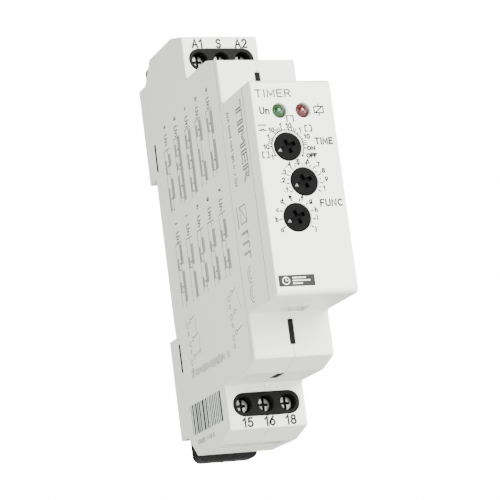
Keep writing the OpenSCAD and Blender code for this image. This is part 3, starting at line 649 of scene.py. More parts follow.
# Adds a word as a thin outline: cap height, full width and line in millimetres
def addWord(bm, plane, word, centre, height, width, turn, outline):
    curve = bpy.data.curves.new("word", "FONT")
    curve.body = word
    curve.align_x = "CENTER"
    curve.size = 1.0
    curve.resolution_u = 3
    scale = height / capShare
    curve.fill_mode = "NONE"
    curve.bevel_depth = outline / scale
    curve.bevel_resolution = 0
    holder = bpy.data.objects.new("word", curve)
    bpy.context.scene.collection.objects.link(holder)
    bpy.context.view_layer.update()
    mesh = bpy.data.meshes.new_from_object(holder.evaluated_get(bpy.context.evaluated_depsgraph_get()))
    bpy.data.objects.remove(holder)
    bpy.data.curves.remove(curve)
    xs = [v.co.x for v in mesh.vertices]
    ys = [v.co.y for v in mesh.vertices]
    wide = width / (max(xs) - min(xs))
    flat = inkHeight / (outline / scale)
    middle = Vector(((max(xs) + min(xs)) / 2, (max(ys) + min(ys)) / 2, 0))
    mesh.transform(planeMatrix(plane) @ Matrix.Translation((*centre, 0))
                   @ Matrix.Rotation(math.radians(turn), 4, "Z")
                   @ Matrix.Diagonal((wide, scale, flat, 1)) @ Matrix.Translation(-middle))
    bm.from_mesh(mesh)
    bpy.data.meshes.remove(mesh)


# Adds a straight stroke with square ends
def addStroke(bm, plane, start, end, width):
    a, b = Vector(start), Vector(end)
    along = (b - a).normalized()
    across = Vector((-along.y, along.x)) * width / 2
    corners = [a + across, a - across, b - across, b + across]
    matrix = planeMatrix(plane)
    low = [bm.verts.new(matrix @ Vector((c.x, c.y, -inkRoot))) for c in corners]
    high = [bm.verts.new(matrix @ Vector((c.x, c.y, inkHeight))) for c in corners]
    bm.faces.new(high)
    bm.faces.new(low[::-1])
    for i in range(4):
        j = (i + 1) % 4
        bm.faces.new((low[i], low[j], high[j], high[i]))


# Adds one ribbon along a path, mitred at its corners
def addPath(bm, plane, points, width):
    path = [Vector(p) for p in points]
    path = [p for i, p in enumerate(path) if i == 0 or (p - path[i - 1]).length > 1e-5]
    closed = (path[0] - path[-1]).length < 1e-5
    if closed:
        path.pop()
    count = len(path)
    sides = []
    for i, point in enumerate(path):
        before = (point - path[i - 1]).normalized() if i or closed else None
        after = (path[(i + 1) % count] - point).normalized() if i < count - 1 or closed else None
        first, last = before or after, after or before
        normal = Vector((-first.y - last.y, first.x + last.x))
        normal = normal.normalized() if normal.length > 1e-4 else Vector((-last.y, last.x))
        reach = width / 2 / max(0.45, normal.dot(Vector((-last.y, last.x))))
        nudge = Vector((0, 0))
        if not before:
            nudge = -last * width / 2
        if not after:
            nudge = first * width / 2
        sides.append((point + nudge + normal * reach, point + nudge - normal * reach))
    matrix = planeMatrix(plane)
    rows = [[bm.verts.new(matrix @ Vector((c.x, c.y, h))) for c in pair for h in (-inkRoot, inkHeight)]
            for pair in sides]
    for i in range(count if closed else count - 1):
        a, b = rows[i], rows[(i + 1) % count]
        for m, n in ((0, 1), (1, 3), (3, 2), (2, 0)):
            bm.faces.new((a[m], a[n], b[n], b[m]))
    if not closed:
        for row in (rows[0], rows[-1]):
            bm.faces.new((row[0], row[1], row[3], row[2]))


def arc(cx, cy, rx, ry, start, end, steps=0):
    steps = steps or max(4, int(abs(end - start) / 24))
    return [(cx + rx * math.cos(math.radians(start + (end - start) * i / steps)),
             cy + ry * math.sin(math.radians(start + (end - start) * i / steps))) for i in range(steps + 1)]


def ring(centre, radius, start, end, steps):
    return arc(centre[0], centre[1], radius, radius, start, end, steps)


# Plain single-stroke letters, one unit high, each with its width
bowl = arc(0.27, 0.33, 0.27, 0.33, 0, 360)
arch = arc(0.26, 0.40, 0.26, 0.27, 180, 0)
glyphs = {
    "0": (0.62, [arc(0.31, 0.5, 0.31, 0.5, 0, 360)]),
    "1": (0.30, [[(0.0, 0.76), (0.26, 1.0), (0.26, 0.0)]]),
    "2": (0.60, [[*arc(0.30, 0.70, 0.29, 0.30, 165, -35), (0.02, 0.0), (0.60, 0.0)]]),
    "3": (0.60, [[*arc(0.28, 0.76, 0.26, 0.24, 150, -80), *arc(0.28, 0.26, 0.32, 0.26, 80, -150)]]),
    "4": (0.64, [[(0.50, 0.0), (0.50, 1.0), (0.0, 0.30), (0.64, 0.30)]]),
    "5": (0.60, [[(0.54, 1.0), (0.12, 1.0), (0.06, 0.55), *arc(0.28, 0.32, 0.32, 0.32, 110, -150)]]),
    "6": (0.60, [arc(0.30, 0.32, 0.30, 0.32, 0, 360), [(0.46, 1.0), (0.12, 0.62), (0.0, 0.32)]]),
    "7": (0.60, [[(0.0, 1.0), (0.60, 1.0), (0.22, 0.0)]]),
    "8": (0.60, [arc(0.30, 0.76, 0.25, 0.24, 0, 360), arc(0.30, 0.27, 0.30, 0.27, 0, 360)]),
    "9": (0.60, [arc(0.30, 0.68, 0.30, 0.32, 0, 360), [(0.60, 0.68), (0.48, 0.38), (0.14, 0.0)]]),
    ".": (0.12, [[(0.06, 0.0), (0.06, 0.06)]]),
    "A": (0.76, [[(0.0, 0.0), (0.38, 1.0), (0.76, 0.0)], [(0.14, 0.34), (0.62, 0.34)]]),
    "C": (0.72, [arc(0.39, 0.5, 0.38, 0.5, 50, 310)]),
    "E": (0.58, [[(0.58, 1.0), (0.0, 1.0), (0.0, 0.0), (0.58, 0.0)], [(0.0, 0.52), (0.50, 0.52)]]),
    "F": (0.55, [[(0.55, 1.0), (0.0, 1.0), (0.0, 0.0)], [(0.0, 0.52), (0.48, 0.52)]]),
    "I": (0.06, [[(0.03, 0.0), (0.03, 1.0)]]),
    "M": (0.80, [[(0.0, 0.0), (0.0, 1.0), (0.40, 0.20), (0.80, 1.0), (0.80, 0.0)]]),
    "N": (0.66, [[(0.0, 0.0), (0.0, 1.0), (0.66, 0.0), (0.66, 1.0)]]),
    "O": (0.80, [arc(0.40, 0.5, 0.40, 0.5, 0, 360)]),
    "R": (0.64, [[(0.0, 0.0), (0.0, 1.0), (0.34, 1.0), *arc(0.34, 0.75, 0.26, 0.25, 80, -80), (0.34, 0.50),
                  (0.0, 0.50)], [(0.34, 0.50), (0.64, 0.0)]]),
    "S": (0.62, [[*arc(0.31, 0.75, 0.28, 0.25, 30, 255), *arc(0.31, 0.26, 0.31, 0.26, 75, -150)]]),
    "T": (0.68, [[(0.0, 1.0), (0.68, 1.0)], [(0.34, 1.0), (0.34, 0.0)]]),
    "U": (0.68, [[(0.0, 1.0), *arc(0.34, 0.34, 0.34, 0.34, 180, 360), (0.68, 1.0)]]),
    "a": (0.54, [bowl, [(0.54, 0.66), (0.54, 0.0)]]),
    "b": (0.54, [bowl, [(0.0, 1.0), (0.0, 0.0)]]),
    "c": (0.50, [arc(0.27, 0.33, 0.26, 0.33, 50, 310)]),
    "d": (0.54, [bowl, [(0.54, 1.0), (0.54, 0.0)]]),
    "e": (0.54, [[(0.02, 0.35), *arc(0.28, 0.33, 0.26, 0.33, 5, 305)]]),
    "f": (0.38, [[*arc(0.34, 0.80, 0.16, 0.20, 70, 180), (0.18, 0.0)], [(0.0, 0.64), (0.38, 0.64)]]),
    "g": (0.54, [bowl, [(0.54, 0.66), *arc(0.27, -0.05, 0.27, 0.22, 0, -150)]]),
    "h": (0.52, [[(0.0, 1.0), (0.0, 0.0)], [*arch, (0.52, 0.0)]]),
    "i": (0.08, [[(0.04, 0.0), (0.04, 0.66)], [(0.04, 0.90), (0.04, 0.96)]]),
    "j": (0.20, [[(0.18, 0.66), *arc(0.02, -0.08, 0.16, 0.16, 0, -100)], [(0.18, 0.90), (0.18, 0.96)]]),
    "n": (0.52, [[(0.0, 0.66), (0.0, 0.0)], [*arch, (0.52, 0.0)]]),
    "o": (0.54, [bowl]),
    "t": (0.38, [[(0.15, 0.95), (0.15, 0.10), (0.26, 0.0), (0.38, 0.0)], [(0.0, 0.66), (0.38, 0.66)]]),
}


letterGap = 0.36


# Adds a word in those letters: cap height, stroke and optional full width in millimetres
def addLetters(bm, plane, word, centre, height, stroke, width=None, turn=0):
    places, x = [], 0.0
    for letter in word:
        places.append(x)
        x += glyphs[letter][0] + letterGap
    full = x - letterGap
    stretch = (width - stroke) / (full * (height - stroke)) if width else 1.0
    scale = height - stroke
    a = math.radians(turn)
    for letter, start in zip(word, places):
        for path in glyphs[letter][1]:
            spots = []
            for u, v in path:
                px, py = (start + u - full / 2) * scale * stretch, (v - 0.5) * scale
                spots.append((centre[0] + px * math.cos(a) - py * math.sin(a),
                              centre[1] + px * math.sin(a) + py * math.cos(a)))
            addPath(bm, plane, spots, stroke)


def printPiece(name, bm, ink, body="housing"):
    bmesh.ops.remove_doubles(bm, verts=bm.verts, dist=0.0000005)
    bmesh.ops.recalc_face_normals(bm, faces=bm.faces)
    piece = pieceFrom(bm, name)
    paint(piece, ink)
    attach(piece, body)


# Ticks round a dial, made as one field of small blocks
def makeTickTree():
    tree, source, sink = newGroup(
        "dialTicks",
        {"Centre": (0, 0, 0), "Count": 10, "Start": 0.0, "Step": 0.1, "Radius": 0.003, "Length": 0.0005,
         "Width": 0.0001, "Height": 0.00004, "Ink": None},
        [("Geometry", "NodeSocketGeometry")], "GeometryNodeTree")
    link = tree.links.new
    number = addNode(tree, "GeometryNodeInputIndex")
    angle = addNode(tree, "ShaderNodeMath", {
        0: number.outputs[0], 1: source.outputs["Step"],
        2: source.outputs["Start"]}, operation="MULTIPLY_ADD")
    reach = addNode(tree, "ShaderNodeMath", {
        1: 0.5, 0: source.outputs["Length"], 2: source.outputs["Radius"]}, operation="MULTIPLY_ADD")
    cosine = addNode(tree, "ShaderNodeMath", operation="COSINE")
    sine = addNode(tree, "ShaderNodeMath", operation="SINE")
    spot = addNode(tree, "ShaderNodeCombineXYZ")
    for wave, axis in ((cosine, "X"), (sine, "Z")):
        link(angle.outputs[0], wave.inputs[0])
        scaled = addNode(tree, "ShaderNodeMath", {
            0: wave.outputs[0], 1: reach.outputs[0]}, operation="MULTIPLY")
        link(scaled.outputs[0], spot.inputs[axis])
    place = addNode(tree, "ShaderNodeVectorMath", {
        0: spot.outputs[0], 1: source.outputs["Centre"]}, operation="ADD")
    points = addNode(tree, "GeometryNodePoints", {
        "Count": source.outputs["Count"], "Position": place.outputs[0]})
    turn = addNode(tree, "ShaderNodeMath", {1: -1.0, 0: angle.outputs[0]}, operation="MULTIPLY")
    lean = addNode(tree, "ShaderNodeCombineXYZ", {"Y": turn.outputs[0]})
    size = addNode(tree, "ShaderNodeCombineXYZ", {
        "X": source.outputs["Length"], "Y": source.outputs["Height"], "Z": source.outputs["Width"]})
    block = addNode(tree, "GeometryNodeMeshCube", {"Size": size.outputs[0]})
    spread = addNode(tree, "GeometryNodeInstanceOnPoints", {
        "Points": points.outputs[0], "Instance": block.outputs["Mesh"], "Rotation": lean.outputs[0]})
    return endTree(tree, spread.outputs[0], source.outputs["Ink"], sink)


def socketId(tree, label):
    return next(item.identifier for item in tree.interface.items_tree
                if item.item_type == "SOCKET" and item.in_out == "INPUT" and item.name == label)


# Runs a geometry tree once and returns its plain mesh
def grown(tree, values, name):
    holder = linkPiece(name, bpy.data.meshes.new(name))
    modifier = holder.modifiers.new(name, "NODES")
    modifier.node_group = tree
    for label, value in values.items():
        modifier[socketId(tree, label)] = value
    bakeModifiers(holder)
    return holder


tickTree = makeTickTree()
tickSets = [
    # dial, first angle, step, count, radius, length, width
    ("time", 213, -27.45, 10, 3.34, 0.70, 0.27),
    ("time", 199.3, -27.45, 9, 3.34, 0.42, 0.24),
    ("function", 213, -27.5, 10, 3.30, 0.64, 0.27),
]
rangeScale = {
    "radius": 3.45,
    "line": 0.24,
    "labels": [211, 180, 152, 132, 104, 80, 47, 24, -6, -34],
    "groups": [165, 117, 64, 10],
    "arc": (213, -37, 48),       # first angle, last angle, steps
}
for mark in rangeScale["labels"]:
    tickSets.append(("range", mark, 0, 1, rangeScale["radius"], 0.48, 0.26))
for mark in rangeScale["groups"]:
    tickSets.append(("range", mark + 6, -6, 3, rangeScale["radius"], 0.85, 0.22))
for number, (dial, first, step, count, radius, length, width) in enumerate(tickSets):
    centre = knobs[dial]["centre"]
    ticks = grown(tickTree, {
        "Centre": (centre[0] * mm, (frontFace - inkHeight / 2 + inkRoot / 2) * mm, centre[1] * mm),
        "Count": count, "Start": math.radians(first), "Step": math.radians(step),
        "Radius": radius * mm, "Length": length * mm, "Width": width * mm,
        "Height": (inkHeight + inkRoot) * mm, "Ink": darkInk}, f"dialTicks{number}")
    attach(ticks, "housing")

frontWords = [
    # word, centre, cap height, width
    ("TIME", (5.7, 9.2), 1.55, 4.05),
    ("FUNC", (5.5, -3.7), 1.60, 5.05),
    ("Un", (-6.4, 15.8), 1.60, 2.2),
    ("ON", (2.65, 7.74), 1.05, 1.95),
    ("OFF", (2.60, 6.22), 1.05, 2.40),
]
dialWords = {
    "range": [("1", -5.99, 6.06), ("10", -6.98, 8.20), ("1", -6.29, 10.31), ("10", -5.43, 11.68),
              ("1", -3.37, 12.60), ("10", -1.57, 12.57), ("1", 0.75, 11.56), ("10", 2.12, 10.21)],
    "time": [(".1", -3.97, -0.77), (".2", -4.46, 1.25), (".3", -4.00, 2.93), (".4", -2.78, 4.49),
             (".5", -0.78, 4.97), (".6", 1.31, 5.03), (".7", 3.56, 4.33), (".8", 4.49, 3.03),
             (".9", 4.90, 1.21), ("1", 4.35, -0.69)],
    "function": [("a", -6.00, -8.90), ("b", -6.80, -6.78), ("c", -6.41, -4.76), ("d", -5.24, -3.05),
                 ("e", -3.35, -2.16), ("f", -0.79, -2.56), ("g", 0.95, -3.14), ("h", 1.97, -5.07),
                 ("i", 1.96, -6.66), ("j", 1.29, -8.95)],
}
frontIcons = {
    "line": 0.26,
    "paths": [
        # coil sign beside the red lamp
        [(4.50, 15.15), (6.50, 15.15), (6.50, 16.45), (4.50, 16.45), (4.50, 15.15)],
        [(4.75, 15.15), (6.25, 16.45)],
        [(5.50, 16.45), (5.50, 17.00)],
        [(5.50, 15.15), (5.50, 14.60)],
        # range signs round the first dial
        [(-8.10, 12.75), (-6.55, 12.75)],
        [(-8.10, 11.65), (-7.55, 11.65), (-7.55, 11.85), (-7.10, 11.85), (-7.10, 11.65), (-6.55, 11.65)],
        [(-7.65, 7.15), (-8.05, 7.15), (-8.05, 5.95), (-7.65, 5.95)],
        [(-7.05, 7.15), (-6.70, 7.15), (-6.70, 5.95), (-7.05, 5.95)],
        [(-1.35, 14.60), (-1.75, 14.60), (-1.75, 13.40)],
        [(-0.95, 14.60), (-0.35, 14.60), (-0.35, 13.40)],
        [(2.35, 12.50), (1.95, 12.50), (1.95, 11.30), (2.35, 11.30)],
        [(2.95, 12.50), (3.35, 12.50), (3.35, 11.30), (2.95, 11.30)],
    ],
}
frontLook = {"wordStroke": 0.32, "dialHeight": 1.12, "dialStroke": 0.27,
             "label": "TIMER", "labelAt": (-4.1, 19.4), "labelHeight": 1.75, "labelStroke": 0.30,
             "labelWidth": 7.9}
words = bmesh.new()
for word, centre, height, width in frontWords:
    addLetters(words, "front", word, centre, height, frontLook["wordStroke"], width)
for dial, marks in dialWords.items():
    for word, x, z in marks:
        addLetters(words, "front", word, (x, z), frontLook["dialHeight"], frontLook["dialStroke"])
addPath(words, "front", ring(knobs["range"]["centre"], rangeScale["radius"], *rangeScale["arc"]),
        rangeScale["line"])
for path in frontIcons["paths"]:
    addPath(words, "front", path, frontIcons["line"])
printPiece("frontPrint", words, darkInk)

label = bmesh.new()
addLetters(label, "front", frontLook["label"], frontLook["labelAt"], frontLook["labelHeight"],
           frontLook["labelStroke"], frontLook["labelWidth"])
printPiece("typeLabel", label, greyInk)

namePlate = {"x": (-8.2, -0.4), "z": (-20.5, -18.2), "clock": (-6.6, -19.35), "radius": 0.72, "line": 0.2,
             "bars": [(-5.2, -2.3), (-5.2, -1.4), (-5.2, -3.1)], "barStep": 0.58, "barLine": 0.27,
             "hand": 0.16, "hands": [(0, 0.5), (0, 0), (0.36, 0)]}
plate = bmesh.new()
middleZ = sum(namePlate["z"]) / 2
addStroke(plate, "front", (namePlate["x"][0], middleZ), (namePlate["x"][1], middleZ),
          namePlate["z"][1] - namePlate["z"][0])
printPiece("namePlate", plate, darkInk)
sign = bmesh.new()
cx, cz = namePlate["clock"]
addPath(sign, "plate", ring((cx, cz), namePlate["radius"], 0, 360, 24), namePlate["line"])
addPath(sign, "plate", [(cx + x, cz + z) for x, z in namePlate["hands"]], namePlate["hand"])
for row, (x0, x1) in enumerate(namePlate["bars"]):
    z = cz + namePlate["barStep"] * (1 - row)
    addStroke(sign, "plate", (x0, z), (x1, z), namePlate["barLine"])
printPiece("plateSign", sign, whiteInk)

terminalWords = [("A1", (-5.3, 41.55), 2.6), ("S", (-0.35, 41.55), 1.35), ("A2", (4.9, 41.55), 3.0),
                 ("15", (-4.7, -41.7), 2.5), ("16", (0.25, -41.7), 2.5), ("18", (5.05, -41.7), 2.5)]
marks = bmesh.new()
for word, centre, width in terminalWords:
    addLetters(marks, "terminals", word, centre, 2.2, 0.42, width)
printPiece("terminalMarks", marks, darkInk)
print("print laid on the front and the terminal faces")


# Print on the left side, laid out as distance from the rear edge and height

# A row of strokes with random widths, heights and leans, on a plane of its own
def makeStrokeTree():
    tree, source, sink = newGroup(
        "strokeRow",
        {"Place": (0, 0, 0), "Turn": (0, 0, 0), "Count": 10, "Pitch": 0.001, "Jitter": 0.0,
         "Width Min": 0.0001, "Width Max": 0.0003, "Height Min": 0.001, "Height Max": 0.002,
         "Lean": 0.0, "Share": 1.0, "Thickness": 0.00004, "Seed": 1, "Ink": None},
        [("Geometry", "NodeSocketGeometry")], "GeometryNodeTree")
    link = tree.links.new

    def chance(low, high, offset):
        seed = addNode(tree, "FunctionNodeIntegerMath", {
            1: offset, 0: source.outputs["Seed"]}, operation="ADD")
        dice = addNode(tree, "FunctionNodeRandomValue", data_type="FLOAT")
        for socket, value in (("Min", low), ("Max", high)):
            target = next(item for item in dice.inputs if item.name == socket and item.type == "VALUE")
            if isinstance(value, float):
                target.default_value = value
            else:
                link(value, target)
        link(seed.outputs[0], dice.inputs["Seed"])
        return next(item for item in dice.outputs if item.type == "VALUE")

    number = addNode(tree, "GeometryNodeInputIndex")
    shift = addNode(tree, "ShaderNodeMath", operation="MULTIPLY")
    link(chance(-0.5, 0.5, 11), shift.inputs[0])
    link(source.outputs["Jitter"], shift.inputs[1])
    along = addNode(tree, "ShaderNodeMath", {
        0: number.outputs[0], 1: source.outputs["Pitch"], 2: shift.outputs[0]}, operation="MULTIPLY_ADD")
    spot = addNode(tree, "ShaderNodeCombineXYZ", {"X": along.outputs[0]})
    points = addNode(tree, "GeometryNodePoints", {
        "Count": source.outputs["Count"], "Position": spot.outputs[0]})
    scale = addNode(tree, "ShaderNodeCombineXYZ", {"Z": 1.0})
    link(chance(source.outputs["Width Min"], source.outputs["Width Max"], 23), scale.inputs["X"])
    link(chance(source.outputs["Height Min"], source.outputs["Height Max"], 37), scale.inputs["Y"])
    tilt = addNode(tree, "ShaderNodeMath", operation="MULTIPLY")
    link(chance(-1.0, 1.0, 41), tilt.inputs[0])
    link(source.outputs["Lean"], tilt.inputs[1])
    lean = addNode(tree, "ShaderNodeCombineXYZ", {"Z": tilt.outputs[0]})
    kept = addNode(tree, "FunctionNodeCompare", data_type="FLOAT", operation="LESS_THAN")
    link(chance(0.0, 1.0, 53), kept.inputs[0])
    link(source.outputs["Share"], kept.inputs[1])
    size = addNode(tree, "ShaderNodeCombineXYZ", {"X": 1.0, "Y": 1.0, "Z": source.outputs["Thickness"]})
    block = addNode(tree, "GeometryNodeMeshCube", {"Size": size.outputs[0]})
    spread = addNode(tree, "GeometryNodeInstanceOnPoints", {
        "Points": points.outputs[0], "Selection": kept.outputs[0], "Instance": block.outputs["Mesh"],
        "Rotation": lean.outputs[0], "Scale": scale.outputs[0]})
    placed = addNode(tree, "GeometryNodeTransform", {
        "Geometry": spread.outputs[0], "Translation": source.outputs["Place"],
        "Rotation": source.outputs["Turn"]})
    return endTree(tree, placed.outputs[0], source.outputs["Ink"], sink)


strokeTree = makeStrokeTree()
upright = (math.pi / 2, 0, -math.pi / 2)          # reads towards the front
downward = (0, math.pi / 2, 0)                    # reads down, its top towards the front
strokeRows = [
    # name, start (forward, height), reading, count, pitch, jitter, widths, heights, lean, share, seed, ink
    ("barsPale", (8.45, -37.2), upright, 9, 2.10, 0.05, (0.35, 0.60), (6.5, 6.5), 0, 1.0, 4, greyInk),
    ("barsBold", (9.5, -37.2), upright, 9, 2.10, 0.20, (0.45, 0.95), (6.5, 6.5), 0, 1.0, 9, darkInk),
    ("codeLine", (10.0, -42.3), upright, 21, 0.55, 0.10, (0.18, 0.26), (0.8, 1.3), 0.20, 0.90, 5, sideInk),
    ("ratingLine", (11.8, -27.7), upright, 44, 0.53, 0.12, (0.14, 0.20), (0.9, 2.2), 0.30, 0.88, 3, sideInk),
    ("supplyLine", (50.3, 19.5), downward, 34, 0.47, 0.14, (0.20, 0.28), (0.8, 1.6), 0.35, 0.78, 8, sideInk),
]
for name, start, reading, count, pitch, jitter, widths, heights, lean, share, seed, ink in strokeRows:
    place = planeMatrix("left") @ Vector((*start, 0))
    row = grown(strokeTree, {
        "Place": tuple(place), "Turn": reading, "Count": count,
        "Pitch": pitch * mm, "Jitter": jitter * mm, "Width Min": widths[0] * mm, "Width Max": widths[1] * mm,
        "Height Min": heights[0] * mm, "Height Max": heights[1] * mm, "Lean": float(lean), "Share": share,
        "Thickness": (inkHeight + inkRoot) * mm, "Seed": seed, "Ink": ink}, name)
    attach(row, "housing")

# Time diagrams: one column each, with the output trace ahead of the control trace
diagramLook = {"line": 0.20, "lead": 0.95, "trail": -1.50, "leadBar": 1.40, "trailBar": 1.00,
               "letterShift": 0.2, "letter": 1.4, "sign": 2.0, "signWidth": 2.4, "stroke": 0.30,
               "axis": (-2.0, 1.7), "timeShift": -0.33, "time": 0.9, "timeStroke": 0.2,
               "foot": (-1.0, 0.3), "footLine": 0.14}
diagrams = [
    # letter, forward, letter height, sign height, span, leading bars, trailing bars
    ("a", 40.5, 27.8, 24.9, (23.4, 9.2), [(23.0, 17.9), (16.7, 10.2)], [(22.0, 18.8), (14.6, 10.4)]),
    ("b", 33.7, 27.8, 24.9, (23.4, 9.0), [(23.0, 18.4), (13.9, 9.6)], [(22.4, 19.9), (17.3, 11.1)]),
    ("c", 27.0, 27.8, 24.9, (23.4, 8.5), [(22.9, 8.9)], [(22.3, 19.2), (18.0, 14.6), (12.9, 9.6)]),
    ("d", 20.0, 27.8, 24.9, (23.4, 8.7), [(23.3, 9.1)], [(22.2, 19.4), (18.2, 16.4), (15.2, 10.0)]),
    ("e", 13.3, 27.8, 24.9, (22.6, 8.6), [(21.4, 18.7), (15.8, 11.2)], [(20.6, 17.2), (14.2, 9.1)]),
    ("f", 40.5, 5.8, 2.7, (0.9, -12.6), [(-0.6, -4.6), (-7.0, -11.2)], [(-2.4, -4.9), (-8.0, -10.6)]),
    ("g", 33.7, 5.8, 2.7, (0.9, -12.8), [(-0.9, -4.9), (-6.9, -12.0)], [(-3.0, -5.4), (-8.4, -11.2)]),
    ("h", 27.0, 5.8, 2.7, (0.9, -12.6), [(-1.1, -4.4), (-6.6, -10.9)], [(-2.6, -6.0), (-9.2, -11.4)]),
    ("i", 20.0, 5.8, 2.7, (0.9, -13.0), [(-0.7, -5.2), (-6.8, -12.4)], [(-3.1, -5.6)]),
    ("j", 13.3, 5.8, 2.7, (1.3, -12.8), [(0.9, -3.6), (-5.1, -11.9)], [(-1.9, -4.6), (-7.1, -9.6)]),
]
side = bmesh.new()
bars = bmesh.new()
for letter, d, letterZ, signZ, span, lead, trail in diagrams:
    look = diagramLook
    addLetters(side, "left", letter, (d + look["letterShift"], letterZ), look["letter"], look["stroke"],
               turn=-90)
    addLetters(side, "left", "Un", (d, signZ), look["sign"], look["stroke"], look["signWidth"], turn=-90)
    addStroke(side, "left", *[(d + end, span[0]) for end in look["axis"]], look["line"])
    for role in ("lead", "trail"):
        base = d + look[role] - look[role + "Bar"] / 2
        addStroke(side, "left", (base, span[0]), (base, span[1]), look["line"])
    for role, pulses in (("lead", lead), ("trail", trail)):
        for high, low in pulses:
            addStroke(bars, "left", (d + look[role], high), (d + look[role], low), look[role + "Bar"])
    for high, low in trail:
        addLetters(side, "left", "t", (d + look["timeShift"], (high + low) / 2), look["time"],
                   look["timeStroke"], turn=-90)
        addStroke(side, "left", *[(d + end, low) for end in look["foot"]], look["footLine"])

# Contact diagrams: a ring for each terminal and a stroke for each lead
contactSigns = [
    # forward from, forward to, height, lead slope
    (37.5, 42.6, -16.0, 0.6), (37.8, 41.9, -20.0, 0.0), (37.5, 43.8, -24.3, 0.7),
    (11.8, 17.5, -16.2, 0.6), (12.3, 18.6, -20.3, 0.6), (11.8, 18.8, -24.2, 0.8),
]
contactLook = {
    # rings: shift, lift, radius
    "rings": [(0.7, -0.9, 0.62), (2.6, -0.1, 0.5)], "ringSteps": 10, "ringLine": 0.16,
    "leadFrom": 3.2, "leadLine": 0.18, "tag": (0.8, -2.4), "tagHeight": 1.5, "tagStroke": 0.2,
    "links": [((43.1, -16.6), (44.1, -20.2)), ((17.8, -16.6), (17.3, -19.8)), ((18.9, -20.6), (18.3, -24.2))],
    "linkLine": 0.14,
}
for start, end, z, slope in contactSigns:
    for shift, lift, radius in contactLook["rings"]:
        addPath(side, "left", ring((start + shift, z + lift), radius, 0, 360, contactLook["ringSteps"]),
                contactLook["ringLine"])
    addStroke(side, "left", (start + contactLook["leadFrom"], z), (end, z + slope), contactLook["leadLine"])
    addLetters(side, "left", "o", (start + contactLook["tag"][0], z + contactLook["tag"][1]),
               contactLook["tagHeight"], contactLook["tagStroke"])
for a, b in contactLook["links"]:
    addStroke(side, "left", a, b, contactLook["linkLine"])

sideWord = {"word": "TIMER", "centre": (56.4, 11.7), "height": 3.1, "width": 17.2, "turn": -90,
            "outline": 0.12}
addWord(side, "left", **sideWord)

# Plain signs in place of approval marks
signLook = {
    "box": [(50.2, -0.6), (53.4, -0.6), (53.4, -4.2), (50.2, -4.2), (50.2, -0.6)],
    "boxLine": 0.22,
    "slash": [(50.2, -0.6), (53.4, -4.2)],
    "slashLine": 0.18,
    "arcForward": 51.8,
    "arcHeights": (-15.0, -19.0),
    "arcSizes": [(1.7, 12), (0.9, 10)],      # radius, steps
    "arcLine": 0.2,
    "post": [(48.7, -0.2), (48.7, -4.7)],
    "postLine": 0.5,
    "hooks": (-6.2, -8.3, -10.4),
    "hookFrom": 49.6,
    "hookTo": 53.0,
    "hookEnds": (0.28, -1.4),
    "hookLine": 0.55,
}
addPath(side, "left", signLook["box"], signLook["boxLine"])
addPath(side, "left", signLook["slash"], signLook["slashLine"])
for height in signLook["arcHeights"]:
    for radius, steps in signLook["arcSizes"]:
        addPath(side, "left", ring((signLook["arcForward"], height), radius, 90, 270, steps),
                signLook["arcLine"])
printPiece("sidePrint", side, sideInk)
addStroke(bars, "left", *signLook["post"], signLook["postLine"])
for z in signLook["hooks"]:
    addStroke(bars, "left", (signLook["hookFrom"], z), (signLook["hookTo"], z), signLook["hookLine"])
    addStroke(bars, "left", *[(signLook["hookTo"], z + end) for end in signLook["hookEnds"]],
              signLook["hookLine"])
printPiece("sideBars", bars, barInk)

# Painted shade in the fine mould line and the cover joint, on both side faces
seamShadeLook = {"seamShades": [(46.7, 31.5), (59.4, 22.2)], "line": 0.13}
for plane in ("left", "right"):
    seamShades = bmesh.new()
    for forward, height in seamShadeLook["seamShades"]:
        addStroke(seamShades, plane, (forward, -height), (forward, height), seamShadeLook["line"])
    printPiece(plane + "SeamShadeLines", seamShades, seamShadeInk)
print("print laid on the left side")


# Painted shade: dark strips behind the slots of the shells, in place of the unlit inside seen through the
# openings

def plateBox(bm, low, high, edge=0.04):
    corners = [Vector((x, y, z)) * mm
               for x in (low[0], high[0]) for y in (low[1], high[1]) for z in (low[2], high[2])]
    verts = [bm.verts.new(c) for c in corners]
    before = set(bm.faces)
    for quad in ((0, 1, 3, 2), (4, 6, 7, 5), (0, 4, 5, 1), (2, 3, 7, 6), (0, 2, 6, 4), (1, 5, 7, 3)):
        bm.faces.new([verts[i] for i in quad])
    fresh = [face for face in bm.faces if face not in before]
    edges = list({e for face in fresh for e in face.edges})
    bmesh.ops.bevel(bm, geom=edges, offset=edge * mm, segments=2, profile=0.5, affect="EDGES")


slotShadeStrips = [
    # spans across, forward and up, just inside each opening of the upper half
    ((-0.54, 0.54), (-43.97, -43.55), (23.82, 28.98)),
    ((-0.84, 0.84), (-35.98, -30.82), (33.05, 33.52)),
    ((-8.755, -8.25), (-2.11, -1.28), (19.72, 25.98)),
    ((8.25, 8.755), (-2.11, -1.28), (19.72, 25.98)),
]
shadeStrips = bmesh.new()
for (x0, x1), (y0, y1), heights in slotShadeStrips:
    for half in (1, -1):
        z0, z1 = sorted(half * z for z in heights)
        plateBox(shadeStrips, (x0, y0, z0), (x1, y1, z1))
bmesh.ops.recalc_face_normals(shadeStrips, faces=shadeStrips.faces)
shadeStripPiece = pieceFrom(shadeStrips, "slotShadeStrips")
paint(shadeStripPiece, shadeFilm)
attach(shadeStripPiece, "housing")
print("slots backed")


# Clamp screws

screwLook = {
    "threadRadius": 1.15,
    "rootRadius": 0.95,
    "ridge": 0.20,
    "pitch": 0.50,
    "threadFrom": -21.6,
    "headFace": -23.8,
    "recessFrom": 0.12,
    "recessDepth": 1.3,
    "shankMargin": 0.03,
    "recessRadius": 1.42,
    "turns": 8,
    "edge": {"width": 0.08 * mm, "minFace": 0.03 * mm, "minLength": 0.03 * mm},
}
screwPlaces = {"a1": (-5, 37.9), "s": (0, 37.9), "a2": (5, 37.9),
               "15": (-5, -37.9), "16": (0, -37.9), "18": (5, -37.9)}


